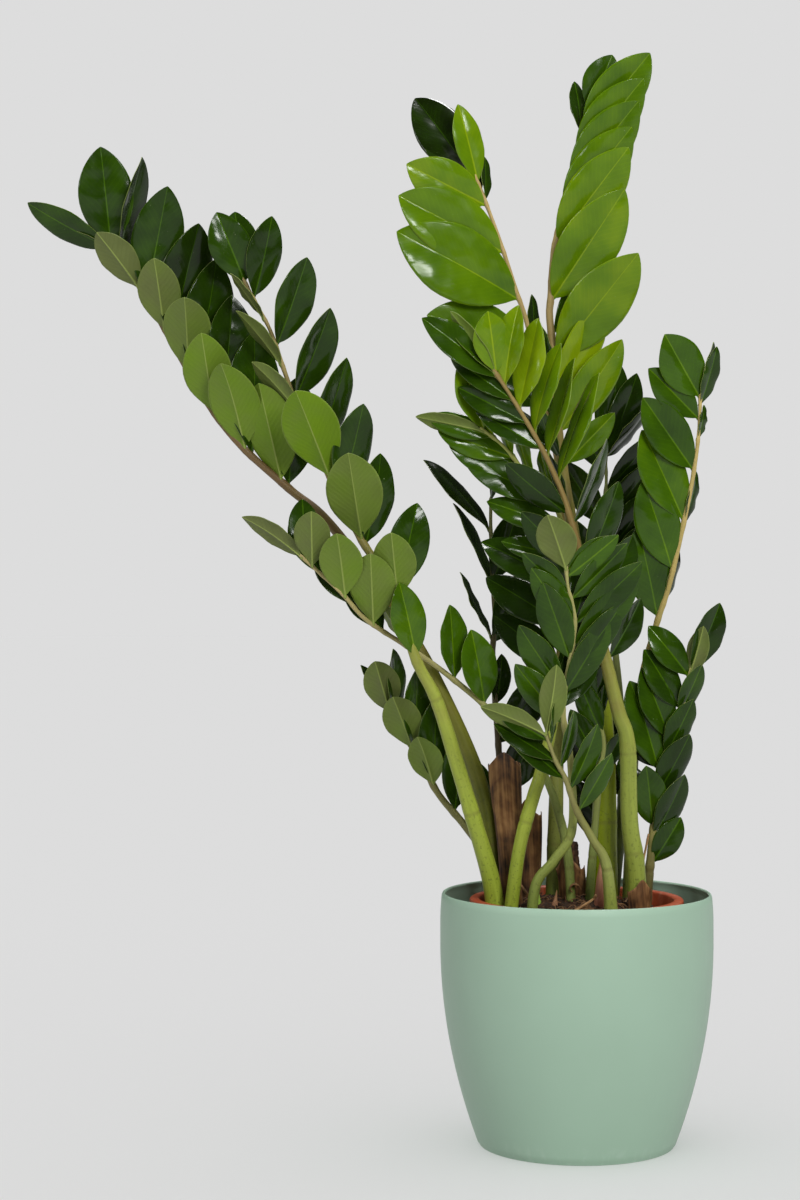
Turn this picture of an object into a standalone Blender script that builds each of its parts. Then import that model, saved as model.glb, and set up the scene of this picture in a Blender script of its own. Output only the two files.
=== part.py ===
"""Potted zz plant: fifteen compound leaves in peat, in a growing pot, in a tapered cover pot.

Units are metres and +Z is up. The origin is the middle of the cover pot's foot, on the surface that the
pot stands on, and the plant is seen from the front when looking along +Y. The tables below are in
millimetres, the unit a grower would measure in, and MM turns them to metres.

A zz plant's leaf is compound: one fleshy stalk with two ranks of leaflets. It grows as one piece, so each
leaf (here a frond) is one solid, its stalk and leaflets joined.
"""

import math
from dataclasses import dataclass

import bmesh
import bpy
from mathutils import Matrix, Vector
from mathutils.geometry import interpolate_bezier

MM = 0.001
GAP = 0.3  # kept between neighbouring solids

# Cover pot
POT_HEIGHT = 230.0
POT_RADIUS = 125.0
POT_FOOT_RADIUS = 90.0
POT_UPRIGHT_FROM = 185.0  # above this height the wall stands straight
POT_WALL = 3.0
POT_FLOOR = 4.0
POT_SEGMENTS = 36

# Growing pot
GROW_TOP = 225.0
GROW_BASE = POT_FLOOR + GAP
GROW_BASE_RADIUS = 68.0
GROW_TOP_RADIUS = 90.5
GROW_WALL = 1.8
GROW_FLOOR = 2.5
LIP_RADIUS = 98.0
LIP_DROP = 11.0
DRAIN_HOLES = 8
DRAIN_RADIUS = 5.0
DRAIN_CIRCLE = 46.0
GROW_SEGMENTS = 32

# Potting mix
MIX_CROWN = 226.0
MIX_EDGE = 206.0
MIX_BASE = GROW_BASE + GROW_FLOOR + GAP
SOCKET_ROOM = 3 * GAP  # added to the diameter of whatever stands in the mix

# Leaflets
LEAFLET_THICKNESS = 2.2
WIDEST_NEAR_BASE = 0.85  # powers that shape a leaflet's outline on either side of its widest place
WIDEST_NEAR_TIP = 0.80
CURVE_STEPS = 12
ROUTE_STEPS = 200
ROOTED = 2.0  # how far a leaflet's foot goes into the stalk

# Stalks
STALK_STEP = 64.0  # between the points of a stalk's route
STOUT = 12.0  # stalks thicker than this at the foot have eight sides, the others six


@dataclass(frozen=True)
class Rank:
    """A row of leaflets up one side of a stalk.

    A list of values runs evenly from the row's lowest leaflet to its top one. span is where the first and
    last sit, as shares of the stalk's length. length is in millimetres. lean is the midrib's angle from
    upright towards +X, reach its angle towards the front (-Y), and turn the leaflet's twist about its
    midrib: 0 shows its upper face to the front, 90 its edge, 180 its underside. breadth is its width as
    a share of its length.
    """

    count: int
    span: tuple
    length: tuple
    lean: tuple
    reach: tuple
    turn: tuple
    breadth: float


@dataclass(frozen=True)
class Frond:
    """A compound leaf: its stalk's route from the mix to the tip, its diameters along it, its leaflets."""

    name: str
    route: tuple
    girth: tuple
    ranks: tuple


FRONDS = (
    Frond(
        "frond_far_left",
        route=((-67, 21, 200), (-75, 18, 258), (-90, 12, 332), (-125, 12, 415), (-162, 12, 480),
               (-226, 5, 568), (-263, 0, 600), (-309, -5, 641), (-341, -5, 682), (-368, -5, 728),
               (-400, -5, 783), (-431, -5, 826)),
        girth=(20, 17, 14, 12, 8, 6, 4, 3),
        ranks=(
            Rank(7, span=(0.62, 0.975), length=(102, 114, 114, 112, 110, 104, 95),
                 lean=(6, 2, 8, 14, 15, 12, 14),
                 reach=(5, 5, 8, 8, 8, 8, 5), turn=(25, 30, 35, 35, 25, 15, 68), breadth=0.46),
            Rank(6, span=(0.63, 0.93), length=(98, 95, 89, 87, 78, 68), lean=(-12, -12, -6, 2, -4, -36),
                 reach=(22, 32, 40, 42, 40, 30), turn=(162, 170, 178, 178, 178, 160), breadth=0.5),
            Rank(1, span=(0.99,), length=(93,), lean=(-5,), reach=(8,), turn=(5,), breadth=0.54),
            Rank(1, span=(0.99,), length=(87,), lean=(-63,), reach=(5,), turn=(-35,), breadth=0.34),
            Rank(1, span=(0.99,), length=(53,), lean=(-60,), reach=(-10,), turn=(80,), breadth=0.4),
        ),
    ),
    Frond(
        "frond_left_front",
        route=((-73, -14, 200), (-79, -17, 243), (-95, -25, 299), (-110, -30, 349), (-129, -35, 408),
               (-148, -37, 446), (-168, -34, 508), (-197, -32, 553), (-225, -32, 608),
               (-250, -32, 661), (-265, -32, 701), (-278, -32, 739), (-290, -32, 763),
               (-305, -32, 791)),
        girth=(18, 15, 13, 9, 7, 5, 4, 2.5),
        ranks=(
            Rank(7, span=(0.5, 0.965), length=(85, 85, 89, 89, 89, 85, 76),
                 lean=(14, 12, 14, 20, 24, 20, 14),
                 reach=(0, 5, 5, 5, 5, 5, 5), turn=(20, 30, 40, 50, 45, 40, 35), breadth=0.46),
            Rank(1, span=(0.4,), length=(74,), lean=(-12,), reach=(10,), turn=(20,), breadth=0.46),
            Rank(3, span=(0.49, 0.69), length=(76, 98, 98), lean=(-5, -8, -21),
                 reach=(35, 36, 36), turn=(178, 176, 172), breadth=0.52),
            Rank(3, span=(0.79, 0.93), length=(64, 66, 53), lean=(-42, -36, -34),
                 reach=(15, 15, 15), turn=(125, 120, 110), breadth=0.42),
            Rank(1, span=(0.99,), length=(68,), lean=(-22,), reach=(12,), turn=(5,), breadth=0.56),
            Rank(1, span=(0.99,), length=(72,), lean=(-9,), reach=(-15,), turn=(10,), breadth=0.5),
            Rank(1, span=(0.985,), length=(35,), lean=(-48,), reach=(-12,), turn=(70,), breadth=0.4),
        ),
    ),
    Frond(
        "frond_left_low",
        route=((-5, -20, 200), (-11, -15, 279), (-34, -8, 347), (-68, -8, 383), (-88, -8, 405),
               (-116, -8, 428), (-136, -8, 443), (-157, -12, 457), (-193, -34, 481), (-214, -44, 504),
               (-252, -52, 539)),
        girth=(9, 8, 6, 5, 4, 2.5),
        ranks=(
            Rank(2, span=(0.5, 0.58), length=(72, 70), lean=(-10, -2),
                 reach=(8, 8), turn=(20, 35), breadth=0.48),
            Rank(4, span=(0.7, 0.965), length=(48, 76, 70, 59), lean=(-30, -2, -6, 0),
                 reach=(12, 32, 32, 32), turn=(120, 176, 176, 172), breadth=0.56),
            Rank(3, span=(0.76, 0.94), length=(64, 64, 59), lean=(-36, -34, -30),
                 reach=(-15, -15, -12), turn=(20, 25, 20), breadth=0.46),
            Rank(1, span=(0.99,), length=(66,), lean=(-53,), reach=(0,), turn=(140,), breadth=0.36),
            Rank(1, span=(0.985,), length=(57,), lean=(-3,), reach=(-12,), turn=(10,), breadth=0.5),
        ),
    ),
    Frond(
        "frond_left_back_low",
        route=((-66, 38, 200), (-80, 37, 255), (-101, 36, 287), (-126, 40, 317), (-145, 42, 351),
               (-165, 42, 380), (-176, 42, 405)),
        girth=(9, 8, 7, 6, 4, 2.5),
        ranks=(
            Rank(5, span=(0.33, 0.9), length=(74, 76, 81, 78, 70), lean=(2, 4, 2, 4, 2),
                 reach=(5, 5, 5, 8, 8), turn=(30, 25, 30, 40, 60), breadth=0.46),
            Rank(3, span=(0.6, 0.94), length=(59, 64, 61), lean=(-16, -20, -16),
                 reach=(25, 28, 28), turn=(165, 170, 172), breadth=0.56),
            Rank(1, span=(0.99,), length=(42,), lean=(-32,), reach=(0,), turn=(60,), breadth=0.36),
        ),
    ),
    Frond(
        "frond_left_back",
        route=((-50, 53, 200), (-62, 53, 280), (-68, 60, 347), (-70, 62, 376), (-72, 64, 401),
               (-74, 66, 451), (-72, 66, 477), (-74, 66, 511), (-76, 66, 561), (-76, 66, 595)),
        girth=(10, 8, 6, 5, 4, 3),
        ranks=(
            Rank(3, span=(0.66, 0.92), length=(72, 87, 93), lean=(-24, -22, -40),
                 reach=(0, 0, 0), turn=(75, 70, 65), breadth=0.4),
            Rank(3, span=(0.5, 0.8), length=(51, 78, 74), lean=(10, 26, 20),
                 reach=(0, 0, 0), turn=(30, 30, 20), breadth=0.46),
            Rank(2, span=(0.29, 0.41), length=(76, 81), lean=(28, 34),
                 reach=(4, 4), turn=(20, 25), breadth=0.5),
            Rank(1, span=(0.99,), length=(64,), lean=(8,), reach=(0,), turn=(60,), breadth=0.4),
        ),
    ),
    Frond(
        "frond_tall_left",
        route=((-20, 20, 200), (-13, 44, 405), (-6, 58, 536), (-12, 60, 621), (-21, 58, 668),
               (-30, 54, 698), (-42, 46, 755), (-54, 40, 790), (-68, 36, 832), (-83, 34, 872),
               (-93, 32, 896)),
        girth=(16, 14, 10, 8, 7, 5, 4, 3),
        ranks=(
            Rank(4, span=(0.76, 0.955), length=(106, 132, 112, 85), lean=(-74, -62, -63, -65),
                 reach=(15, 15, 15, 15), turn=(10, 10, 10, 0), breadth=0.53),
            Rank(2, span=(0.76, 0.96), length=(53, 45), lean=(4, 2),
                 reach=(-10, -10), turn=(58, 62), breadth=0.4),
            Rank(1, span=(0.985,), length=(76,), lean=(-14,), reach=(8,), turn=(20,), breadth=0.38),
            Rank(2, span=(0.985, 0.97), length=(110, 89), lean=(-33, -38),
                 reach=(-14, -12), turn=(10, 20), breadth=0.47),
            Rank(3, span=(0.62, 0.74), length=(85, 85, 85), lean=(-60, -64, -66),
                 reach=(-5, 0, 5), turn=(20, 20, 15), breadth=0.4),
        ),
    ),
    Frond(
        "frond_tall_right",
        route=((28, 10, 200), (27, 12, 286), (27, 16, 364), (23, 22, 428), (16, 28, 477), (1, 35, 555),
               (-13, 40, 647), (-18, 40, 723), (-22, 40, 764), (-21, 40, 780), (-19, 40, 815),
               (-14, 40, 845), (16, 40, 967)),
        girth=(24, 22, 17, 12, 9, 7, 5, 3),
        ranks=(
            Rank(3, span=(0.68, 0.82), length=(127, 125, 112), lean=(39, 34, 38),
                 reach=(20, 20, 18), turn=(10, 8, 5), breadth=0.44),
            Rank(4, span=(0.855, 0.955), length=(104, 102, 100, 98), lean=(39, 40, 40, 41),
                 reach=(18, 18, 15, 12), turn=(5, 5, 5, 5), breadth=0.46),
            Rank(4, span=(0.71, 0.9), length=(89, 89, 85, 78), lean=(38, 36, 36, 36),
                 reach=(-14, -14, -14, -14), turn=(15, 15, 15, 15), breadth=0.4),
            Rank(1, span=(0.955,), length=(53,), lean=(-6,), reach=(-6,), turn=(40,), breadth=0.4),
            Rank(1, span=(0.985,), length=(57,), lean=(24,), reach=(5,), turn=(5,), breadth=0.6),
            Rank(3, span=(0.55, 0.63), length=(70, 106, 102), lean=(44, 34, 26),
                 reach=(8, 10, 8), turn=(10, 15, 20), breadth=0.36),
            Rank(4, span=(0.5, 0.66), length=(59, 59, 59, 55), lean=(-26, -26, -24, -22),
                 reach=(16, 16, 16, 16), turn=(-60, -60, -60, -60), breadth=0.34),
        ),
    ),
    Frond(
        "frond_mid_right",
        route=((54, -30, 200), (52, -30, 254), (46, -30, 298), (44, -30, 369), (36, -30, 397),
               (25, -30, 442), (8, -28, 513), (-10, -28, 581), (-28, -30, 625), (-45, -32, 656),
               (-65, -34, 688), (-78, -36, 707)),
        girth=(18, 16, 15, 12, 8, 6, 4, 3),
        ranks=(
            Rank(5, span=(0.78, 0.965), length=(104, 93, 85, 83, 74), lean=(16, 15, 15, 11, 9),
                 reach=(8, 8, 8, 8, 8), turn=(-70, -66, -60, -40, -30), breadth=0.42),
            Rank(1, span=(0.99,), length=(57,), lean=(-8,), reach=(10,), turn=(10,), breadth=0.62),
            Rank(4, span=(0.84, 0.985), length=(70, 72, 70, 70), lean=(-60, -62, -54, -40),
                 reach=(-5, -5, -5, -5), turn=(20, 10, 15, 50), breadth=0.34),
            Rank(2, span=(0.98, 0.99), length=(89, 70), lean=(-51, -34),
                 reach=(5, 0), turn=(20, 130), breadth=0.36),
            Rank(4, span=(0.46, 0.7), length=(68, 83, 89, 85), lean=(30, 26, 24, 22),
                 reach=(-10, -8, -5, 0), turn=(30, 30, 40, 60), breadth=0.42),
            Rank(4, span=(0.44, 0.72), length=(68, 76, 76, 74), lean=(-34, -42, -48, -52),
                 reach=(-8, -5, 0, 0), turn=(-20, -20, -30, -30), breadth=0.42),
        ),
    ),
    Frond(
        "frond_mid_left",
        route=((-64, -35, 200), (-54, -32, 273), (-41, -30, 321), (-35, -28, 339), (-22, -15, 389),
               (-10, -8, 462), (-10, -5, 526), (-16, -5, 576), (-31, -5, 596), (-47, -5, 615),
               (-67, -8, 639), (-89, -12, 656)),
        girth=(13, 12, 12, 9, 6, 5, 4, 2.5),
        ranks=(
            Rank(6, span=(0.7, 0.97), length=(60, 73, 88, 84, 74, 63),
                 lean=(-76, -70, -64, -66, -70, -72),
                 reach=(0, 0, 0, 0, 0, 0), turn=(15, 15, 10, 10, 10, 10), breadth=0.36),
            Rank(4, span=(0.8, 0.97), length=(53, 53, 57, 61), lean=(-16, -20, -20, -22),
                 reach=(10, 10, 10, 10), turn=(-70, -70, -60, -50), breadth=0.42),
            Rank(3, span=(0.49, 0.65), length=(85, 93, 91), lean=(-50, -56, -62),
                 reach=(-20, -18, -16), turn=(12, 16, 16), breadth=0.4),
            Rank(1, span=(0.99,), length=(70,), lean=(-18,), reach=(10,), turn=(15,), breadth=0.46),
            Rank(1, span=(0.99,), length=(64,), lean=(-77,), reach=(0,), turn=(140,), breadth=0.34),
        ),
    ),
    Frond(
        "frond_back_right",
        route=((38, 60, 200), (49, 70, 309), (47, 75, 403), (38, 80, 498), (33, 85, 581),
               (35, 85, 611), (34, 85, 643)),
        girth=(11, 10, 8, 6, 4, 2.5),
        ranks=(
            Rank(5, span=(0.7, 0.98), length=(74, 76, 74, 70, 66), lean=(32, 36, 40, 42, 44),
                 reach=(0, 0, 0, 0, 0), turn=(20, 20, 25, 30, 60), breadth=0.42),
            Rank(3, span=(0.72, 0.95), length=(72, 74, 68), lean=(-36, -34, -30),
                 reach=(0, 0, 0), turn=(-30, -30, -30), breadth=0.44),
            Rank(3, span=(0.14, 0.36), length=(78, 83, 81), lean=(-34, -38, -30),
                 reach=(0, 0, 0), turn=(-20, -20, -20), breadth=0.5),
            Rank(2, span=(0.98, 0.99), length=(93, 83), lean=(8, 24),
                 reach=(5, 0), turn=(25, 25), breadth=0.4),
        ),
    ),
    Frond(
        "frond_right",
        route=((51, 40, 200), (54, 30, 312), (61, 25, 415), (75, 20, 473), (85, 15, 506),
               (92, 10, 535), (104, 5, 592), (110, 0, 630), (113, 0, 660), (114, 0, 689)),
        girth=(12, 10, 8, 6, 5, 4, 2.5),
        ranks=(
            Rank(5, span=(0.57, 0.95), length=(89, 89, 93, 83, 68), lean=(-13, -19, -25, -36, -46),
                 reach=(10, 10, 10, 10, 15), turn=(12, 10, 15, 10, 10), breadth=0.48),
            Rank(1, span=(0.99,), length=(70,), lean=(-32,), reach=(20,), turn=(10,), breadth=0.62),
            Rank(2, span=(0.91, 0.975), length=(34, 57), lean=(14, 16),
                 reach=(0, 0), turn=(55, 50), breadth=0.4),
            Rank(1, span=(0.99,), length=(53,), lean=(14,), reach=(0,), turn=(60,), breadth=0.36),
            Rank(2, span=(0.6, 0.75), length=(53, 53), lean=(20, 18),
                 reach=(-5, -5), turn=(60, 60), breadth=0.36),
        ),
    ),
    Frond(
        "frond_right_low",
        route=((65, 15, 200), (71, 12, 277), (73, 12, 297), (75, 10, 331), (90, 8, 378), (100, 5, 407),
               (106, 5, 436)),
        girth=(9, 8, 7, 5, 4, 2.5),
        ranks=(
            Rank(4, span=(0.58, 0.965), length=(89, 72, 65, 60), lean=(-17, -21, -30, -38),
                 reach=(3, 3, 3, 3), turn=(20, 15, 10, 15), breadth=0.47),
            Rank(1, span=(0.99,), length=(68,), lean=(25,), reach=(0,), turn=(30,), breadth=0.46),
            Rank(1, span=(0.96,), length=(51,), lean=(16,), reach=(10,), turn=(150,), breadth=0.42),
            Rank(4, span=(0.32, 0.8), length=(68, 68, 61, 55), lean=(27, 28, 26, 24),
                 reach=(9, 9, 9, 9), turn=(30, 25, 30, 40), breadth=0.46),
            Rank(1, span=(0.36,), length=(64,), lean=(-8,), reach=(20,), turn=(0,), breadth=0.5),
            Rank(1, span=(0.22,), length=(53,), lean=(33,), reach=(5,), turn=(10,), breadth=0.5),
            Rank(3, span=(0.42, 0.76), length=(59, 57, 53), lean=(-34, -38, -42),
                 reach=(-6, -6, -6), turn=(8, 8, 8), breadth=0.42),
        ),
    ),
    Frond(
        "frond_centre",
        route=((-45, -50, 200), (-40, -50, 243), (-24, -52, 265), (-8, -56, 294), (-10, -62, 356),
               (-17, -66, 403), (-9, -70, 454), (-7, -72, 484), (-13, -74, 510), (-15, -76, 529)),
        girth=(10, 9, 7, 5, 4, 2.5),
        ranks=(
            Rank(6, span=(0.66, 0.97), length=(78, 78, 85, 81, 70, 59), lean=(32, 40, 45, 47, 46, 51),
                 reach=(8, 5, 5, 5, 8, 10), turn=(20, 20, 20, 15, 15, 15), breadth=0.36),
            Rank(5, span=(0.58, 0.92), length=(70, 72, 74, 66, 57), lean=(-40, -36, -20, -36, -50),
                 reach=(5, 5, 8, 5, 5), turn=(-25, -20, -20, -20, -25), breadth=0.42),
            Rank(3, span=(0.62, 0.86), length=(83, 87, 81), lean=(22, 14, 20),
                 reach=(-22, -22, -20), turn=(10, 5, 10), breadth=0.42),
            Rank(1, span=(0.99,), length=(59,), lean=(-20,), reach=(28,), turn=(165,), breadth=0.6),
            Rank(1, span=(0.985,), length=(49,), lean=(52,), reach=(10,), turn=(15,), breadth=0.44),
        ),
    ),
    Frond(
        "frond_centre_low",
        route=((28, -60, 200), (22, -66, 261), (9, -72, 286), (-6, -78, 313), (-16, -84, 341),
               (-25, -88, 357), (-34, -92, 382)),
        girth=(14, 11, 8, 6, 4, 2.5),
        ranks=(
            Rank(3, span=(0.76, 0.96), length=(70, 64, 53), lean=(-50, -56, -60),
                 reach=(8, 8, 8), turn=(30, 40, 20), breadth=0.34),
            Rank(1, span=(0.99,), length=(68,), lean=(-65,), reach=(18,), turn=(150,), breadth=0.34),
            Rank(1, span=(0.99,), length=(64,), lean=(9,), reach=(10,), turn=(160,), breadth=0.4),
            Rank(4, span=(0.6, 0.93), length=(61, 64, 53, 42), lean=(30, 24, 16, 8),
                 reach=(8, 8, 8, 8), turn=(30, 30, 50, 70), breadth=0.38),
        ),
    ),
    Frond(
        "frond_centre_inner",
        route=((9, -12, 200), (16, -10, 289), (22, -11, 348), (24, -12, 368), (19, -13, 390),
               (10, -14, 408)),
        girth=(9, 8, 6, 5, 3),
        ranks=(
            Rank(1, span=(0.9,), length=(32,), lean=(10,), reach=(6,), turn=(15,), breadth=0.34),
            Rank(3, span=(0.7, 0.95), length=(59, 57, 53), lean=(-30, -24, -18),
                 reach=(8, 8, 8), turn=(-10, -10, -10), breadth=0.4),
            Rank(2, span=(0.66, 0.97), length=(47, 47), lean=(30, 22),
                 reach=(-14, -8), turn=(20, 20), breadth=0.4),
            Rank(1, span=(0.99,), length=(53,), lean=(-30,), reach=(5,), turn=(0,), breadth=0.44),
        ),
    ),
)


@dataclass(frozen=True)
class Sprig:
    """A plain round piece on a route: a shoot, a stump or a dry stalk."""

    name: str
    finish: str
    route: tuple
    girth: tuple


SPRIGS = (
    Sprig("young_shoot_left", "young_shoot",
          route=((-22, -30, 203), (-22, -31, 220), (-20, -32, 236)), girth=(6, 7, 1.6)),
    Sprig("young_shoot_right", "young_shoot",
          route=((17, -38, 203), (18, -38, 235), (20, -37, 262), (21, -36, 274)), girth=(8, 9, 7, 2)),
    Sprig("young_shoot_green", "frond_leaf",
          route=((-35, -28, 203), (-36, -29, 222), (-37, -31, 238)), girth=(5, 5.5, 1.6)),
    Sprig("dried_stump", "dry_sheath",
          route=((-2, 4, 200), (-2, 4, 235), (-4, 3, 262), (-3, 2, 276)), girth=(16, 17, 15, 11)),
    Sprig("dry_stalk_long", "dry_stalk",
          route=((38, -10, 212), (50, 2, 229), (60, 0, 254), (66, -4, 284)), girth=(2.6, 2.4, 2.2, 1.8)),
    Sprig("dry_stalk_left", "dry_stalk",
          route=((-34, -21, 214), (-44, -23, 228), (-55, -23, 246), (-55, -21, 270)),
          girth=(3, 2.8, 2.4, 1.8)),
    Sprig("dry_stalk_front", "dry_stalk",
          route=((-20, -62, 211), (-4, -60, 222), (10, -50, 229), (14, -52, 234)), girth=(3, 3, 2.6, 2)),
)


@dataclass(frozen=True)
class Sheath:
    """A papery sheath that wraps part of the way round a stalk's foot."""

    name: str
    foot: tuple
    top: tuple
    radius: tuple  # at its foot and at its torn top
    facing: float  # degrees from +X, the middle of the wrap
    wrap: float  # degrees
    tear: float  # how far its torn points rise and fall


SHEATHS = (
    Sheath("sheath_left", foot=(-58, -1, 207), top=(-66, 4, 352), radius=(9.5, 14), facing=-80, wrap=230,
           tear=7),
    Sheath("sheath_back", foot=(-40, 34, 207), top=(-42, 36, 304), radius=(10, 11.5), facing=-90, wrap=200,
           tear=9),
    Sheath("sheath_middle", foot=(-2, 4, 204), top=(-6, 2, 258), radius=(11.5, 14), facing=-100, wrap=170,
           tear=9),
    Sheath("sheath_right", foot=(54, -30, 205), top=(52, -30, 240), radius=(11.5, 12.5), facing=-60, wrap=150,
           tear=6),
)
SHEATH_THICKNESS = 0.9

FINISHES = {
    # name: (colour, roughness)
    "cover_pot_plastic": ((0.34, 0.47, 0.38), 0.5),
    "growing_pot_plastic": ((0.50, 0.12, 0.05), 0.6),
    "potting_mix": ((0.045, 0.026, 0.014), 0.95),
    "frond_leaf": ((0.05, 0.16, 0.02), 0.35),
    "dry_sheath": ((0.11, 0.05, 0.02), 0.85),
    "young_shoot": ((0.33, 0.13, 0.08), 0.6),
    "dry_stalk": ((0.36, 0.26, 0.13), 0.85),
}


def metres(point):
    """A table's point in metres."""
    return Vector(point) * MM


def along(values, share):
    """The value at a share (0 to 1) of the way along an evenly spaced list, with straight runs between."""
    place = share * (len(values) - 1)
    low = min(int(place), max(len(values) - 2, 0))
    high = min(low + 1, len(values) - 1)
    return values[low] + (values[high] - values[low]) * (place - low)


def smooth_route(points, steps):
    """Points spaced evenly along one smooth curve through the given points."""
    ends = [points[0] * 2 - points[1], *points, points[-1] * 2 - points[-2]]
    fine = []
    for before, start, end, after in zip(ends, ends[1:], ends[2:], ends[3:]):
        handles = start + (end - before) / 6, end - (after - start) / 6
        fine += interpolate_bezier(start, *handles, end, CURVE_STEPS + 1)[:-1]
    fine.append(points[-1])
    walked = [0.0]
    for a, b in zip(fine, fine[1:]):
        walked.append(walked[-1] + (b - a).length)
    route, at = [], 0
    for step in range(steps + 1):
        wanted = walked[-1] * step / steps
        while at < len(fine) - 2 and walked[at + 1] < wanted:
            at += 1
        share = (wanted - walked[at]) / (walked[at + 1] - walked[at])
        route.append(fine[at].lerp(fine[at + 1], share))
    return route


def clear_scene():
    """Removes what a new file holds."""
    for thing in list(bpy.data.objects):
        bpy.data.objects.remove(thing, do_unlink=True)


def new_collection(name):
    """A collection linked to the scene."""
    group = bpy.data.collections.new(name)
    bpy.context.scene.collection.children.link(group)
    return group


def make_finishes():
    """One Principled material for each finish."""
    made = {}
    for name, (colour, roughness) in FINISHES.items():
        material = bpy.data.materials.new(name)
        material.use_nodes = True
        shader = material.node_tree.nodes["Principled BSDF"]
        shader.inputs["Base Color"].default_value = (*colour, 1.0)
        shader.inputs["Roughness"].default_value = roughness
        shader.inputs["Metallic"].default_value = 0.0
        material.diffuse_color = (*colour, 1.0)
        made[name] = material
    return made


def add_object(name, mesh, group, material=None):
    """An object for a mesh, in a collection, with its material."""
    thing = bpy.data.objects.new(name, mesh)
    group.objects.link(thing)
    if material is not None:
        mesh.materials.append(material)
    return thing


def as_tool(thing):
    """Marks a cutter or an operand, which isn't part of the object."""
    thing.hide_render = True
    thing.display_type = "WIRE"
    return thing


def turned(name, profile, segments, group, material=None):
    """A turned solid from (radius, height) points that run inside, over the rim and down the outer side."""
    mesh = bpy.data.meshes.new(name)
    mesh.from_pydata([(r * MM, 0.0, z * MM) for r, z in profile],
                     [(i, i + 1) for i in range(len(profile) - 1)], [])
    thing = add_object(name, mesh, group, material)
    screw = thing.modifiers.new("turn", "SCREW")
    screw.axis = "Z"
    screw.steps = screw.render_steps = segments
    screw.use_merge_vertices = True
    screw.merge_threshold = 0.0001
    screw.use_smooth_shade = True
    return thing


def tube_mesh(name, route, diameters, sides_resolution):
    """The mesh of a round stalk along a route in metres, its diameters in millimetres spread along it."""
    data = bpy.data.curves.new(name, "CURVE")
    data.dimensions = "3D"
    data.bevel_depth = MM / 2
    data.bevel_resolution = sides_resolution
    data.use_fill_caps = True
    line = data.splines.new("POLY")
    line.points.add(len(route) - 1)
    for i, point in enumerate(route):
        line.points[i].co = (*point, 1.0)
        line.points[i].radius = along(diameters, i / (len(route) - 1))
    thing = bpy.data.objects.new(name, data)
    bpy.context.scene.collection.objects.link(thing)
    bpy.context.view_layer.update()
    seen = thing.evaluated_get(bpy.context.evaluated_depsgraph_get())
    mesh = bpy.data.meshes.new_from_object(seen)
    mesh.name = name
    shape = bmesh.new()
    shape.from_mesh(mesh)
    bmesh.ops.remove_doubles(shape, verts=shape.verts, dist=0.00002)
    bmesh.ops.recalc_face_normals(shape, faces=shape.faces)
    shape.to_mesh(mesh)
    shape.free()
    bpy.data.objects.remove(thing, do_unlink=True)
    bpy.data.curves.remove(data)
    mesh.shade_smooth()
    return mesh


def leaflet_axes(lean, reach, turn):
    """A leaflet's midrib, side and upper-face directions for its three angles in degrees."""
    lean, reach, turn = math.radians(lean), math.radians(reach), math.radians(turn)
    midrib = Vector((math.sin(lean) * math.cos(reach), -math.sin(reach), math.cos(lean) * math.cos(reach)))
    to_front = Vector((0.0, -1.0, 0.0))
    facing = (to_front - midrib * to_front.dot(midrib)).normalized()
    upper = Matrix.Rotation(turn, 3, midrib) @ facing
    return midrib, upper.cross(midrib), upper


def half_width(u):
    """A leaflet's half width at u (0 foot, 1 tip) as a share of the widest."""
    widest = WIDEST_NEAR_BASE / (WIDEST_NEAR_BASE + WIDEST_NEAR_TIP)
    peak = widest**WIDEST_NEAR_BASE * (1 - widest) ** WIDEST_NEAR_TIP
    return u**WIDEST_NEAR_BASE * (1 - u) ** WIDEST_NEAR_TIP / peak


def leaflet_mesh(name, foot, axes, length, breadth):
    """A leaflet: a four-sided sphere drawn out from foot to tip, thin through and widest at its middle."""
    midrib, side, upper = axes
    shape = bmesh.new()
    bmesh.ops.create_uvsphere(shape, u_segments=4, v_segments=4, radius=1.0)
    for vert in shape.verts:
        u = min(max((vert.co.z + 1) / 2, 0.0), 1.0)
        ring = math.hypot(vert.co.x, vert.co.y)
        across, through = (vert.co.x / ring, vert.co.y / ring) if ring > 0.01 else (0.0, 0.0)
        wide = across * half_width(u) * length * breadth / 2
        thick = through * LEAFLET_THICKNESS / 2
        vert.co = foot + (midrib * (u * (length + ROOTED) - ROOTED) + side * wide + upper * thick) * MM
    bmesh.ops.recalc_face_normals(shape, faces=shape.faces)
    mesh = bpy.data.meshes.new(name)
    shape.to_mesh(mesh)
    shape.free()
    mesh.shade_smooth()
    return mesh


def place_leaflets(frond):
    """Each leaflet of a frond as its foot, axes, length and breadth."""
    route = smooth_route([metres(p) for p in frond.route], ROUTE_STEPS)
    for rank in frond.ranks:
        for i in range(rank.count):
            share = i / (rank.count - 1) if rank.count > 1 else 0.0
            place = along(rank.span, share)
            foot = route[round(place * ROUTE_STEPS)]
            axes = leaflet_axes(along(rank.lean, share), along(rank.reach, share), along(rank.turn, share))
            yield foot, axes, along(rank.length, share), rank.breadth


def joined(thing, group):
    """Joins a collection's shapes to an object."""
    union = thing.modifiers.new("join", "BOOLEAN")
    union.operation = "UNION"
    union.operand_type = "COLLECTION"
    union.collection = group
    union.solver = "EXACT"


def round_outline(piece):
    """The route that a frond's stalk or a sprig is drawn on, and its bevel resolution."""
    length = sum(math.dist(a, b) for a, b in zip(piece.route, piece.route[1:]))
    route = smooth_route([metres(p) for p in piece.route], max(6, round(length / STALK_STEP)))
    return route, 2 if piece.girth[0] > STOUT else 1


def build_round(piece, group, material):
    """A frond's stalk, a shoot, a stump or a dry stalk: a tapering tube on a smooth route."""
    route, sides = round_outline(piece)
    return add_object(piece.name, tube_mesh(piece.name, route, piece.girth, sides), group, material)


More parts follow.
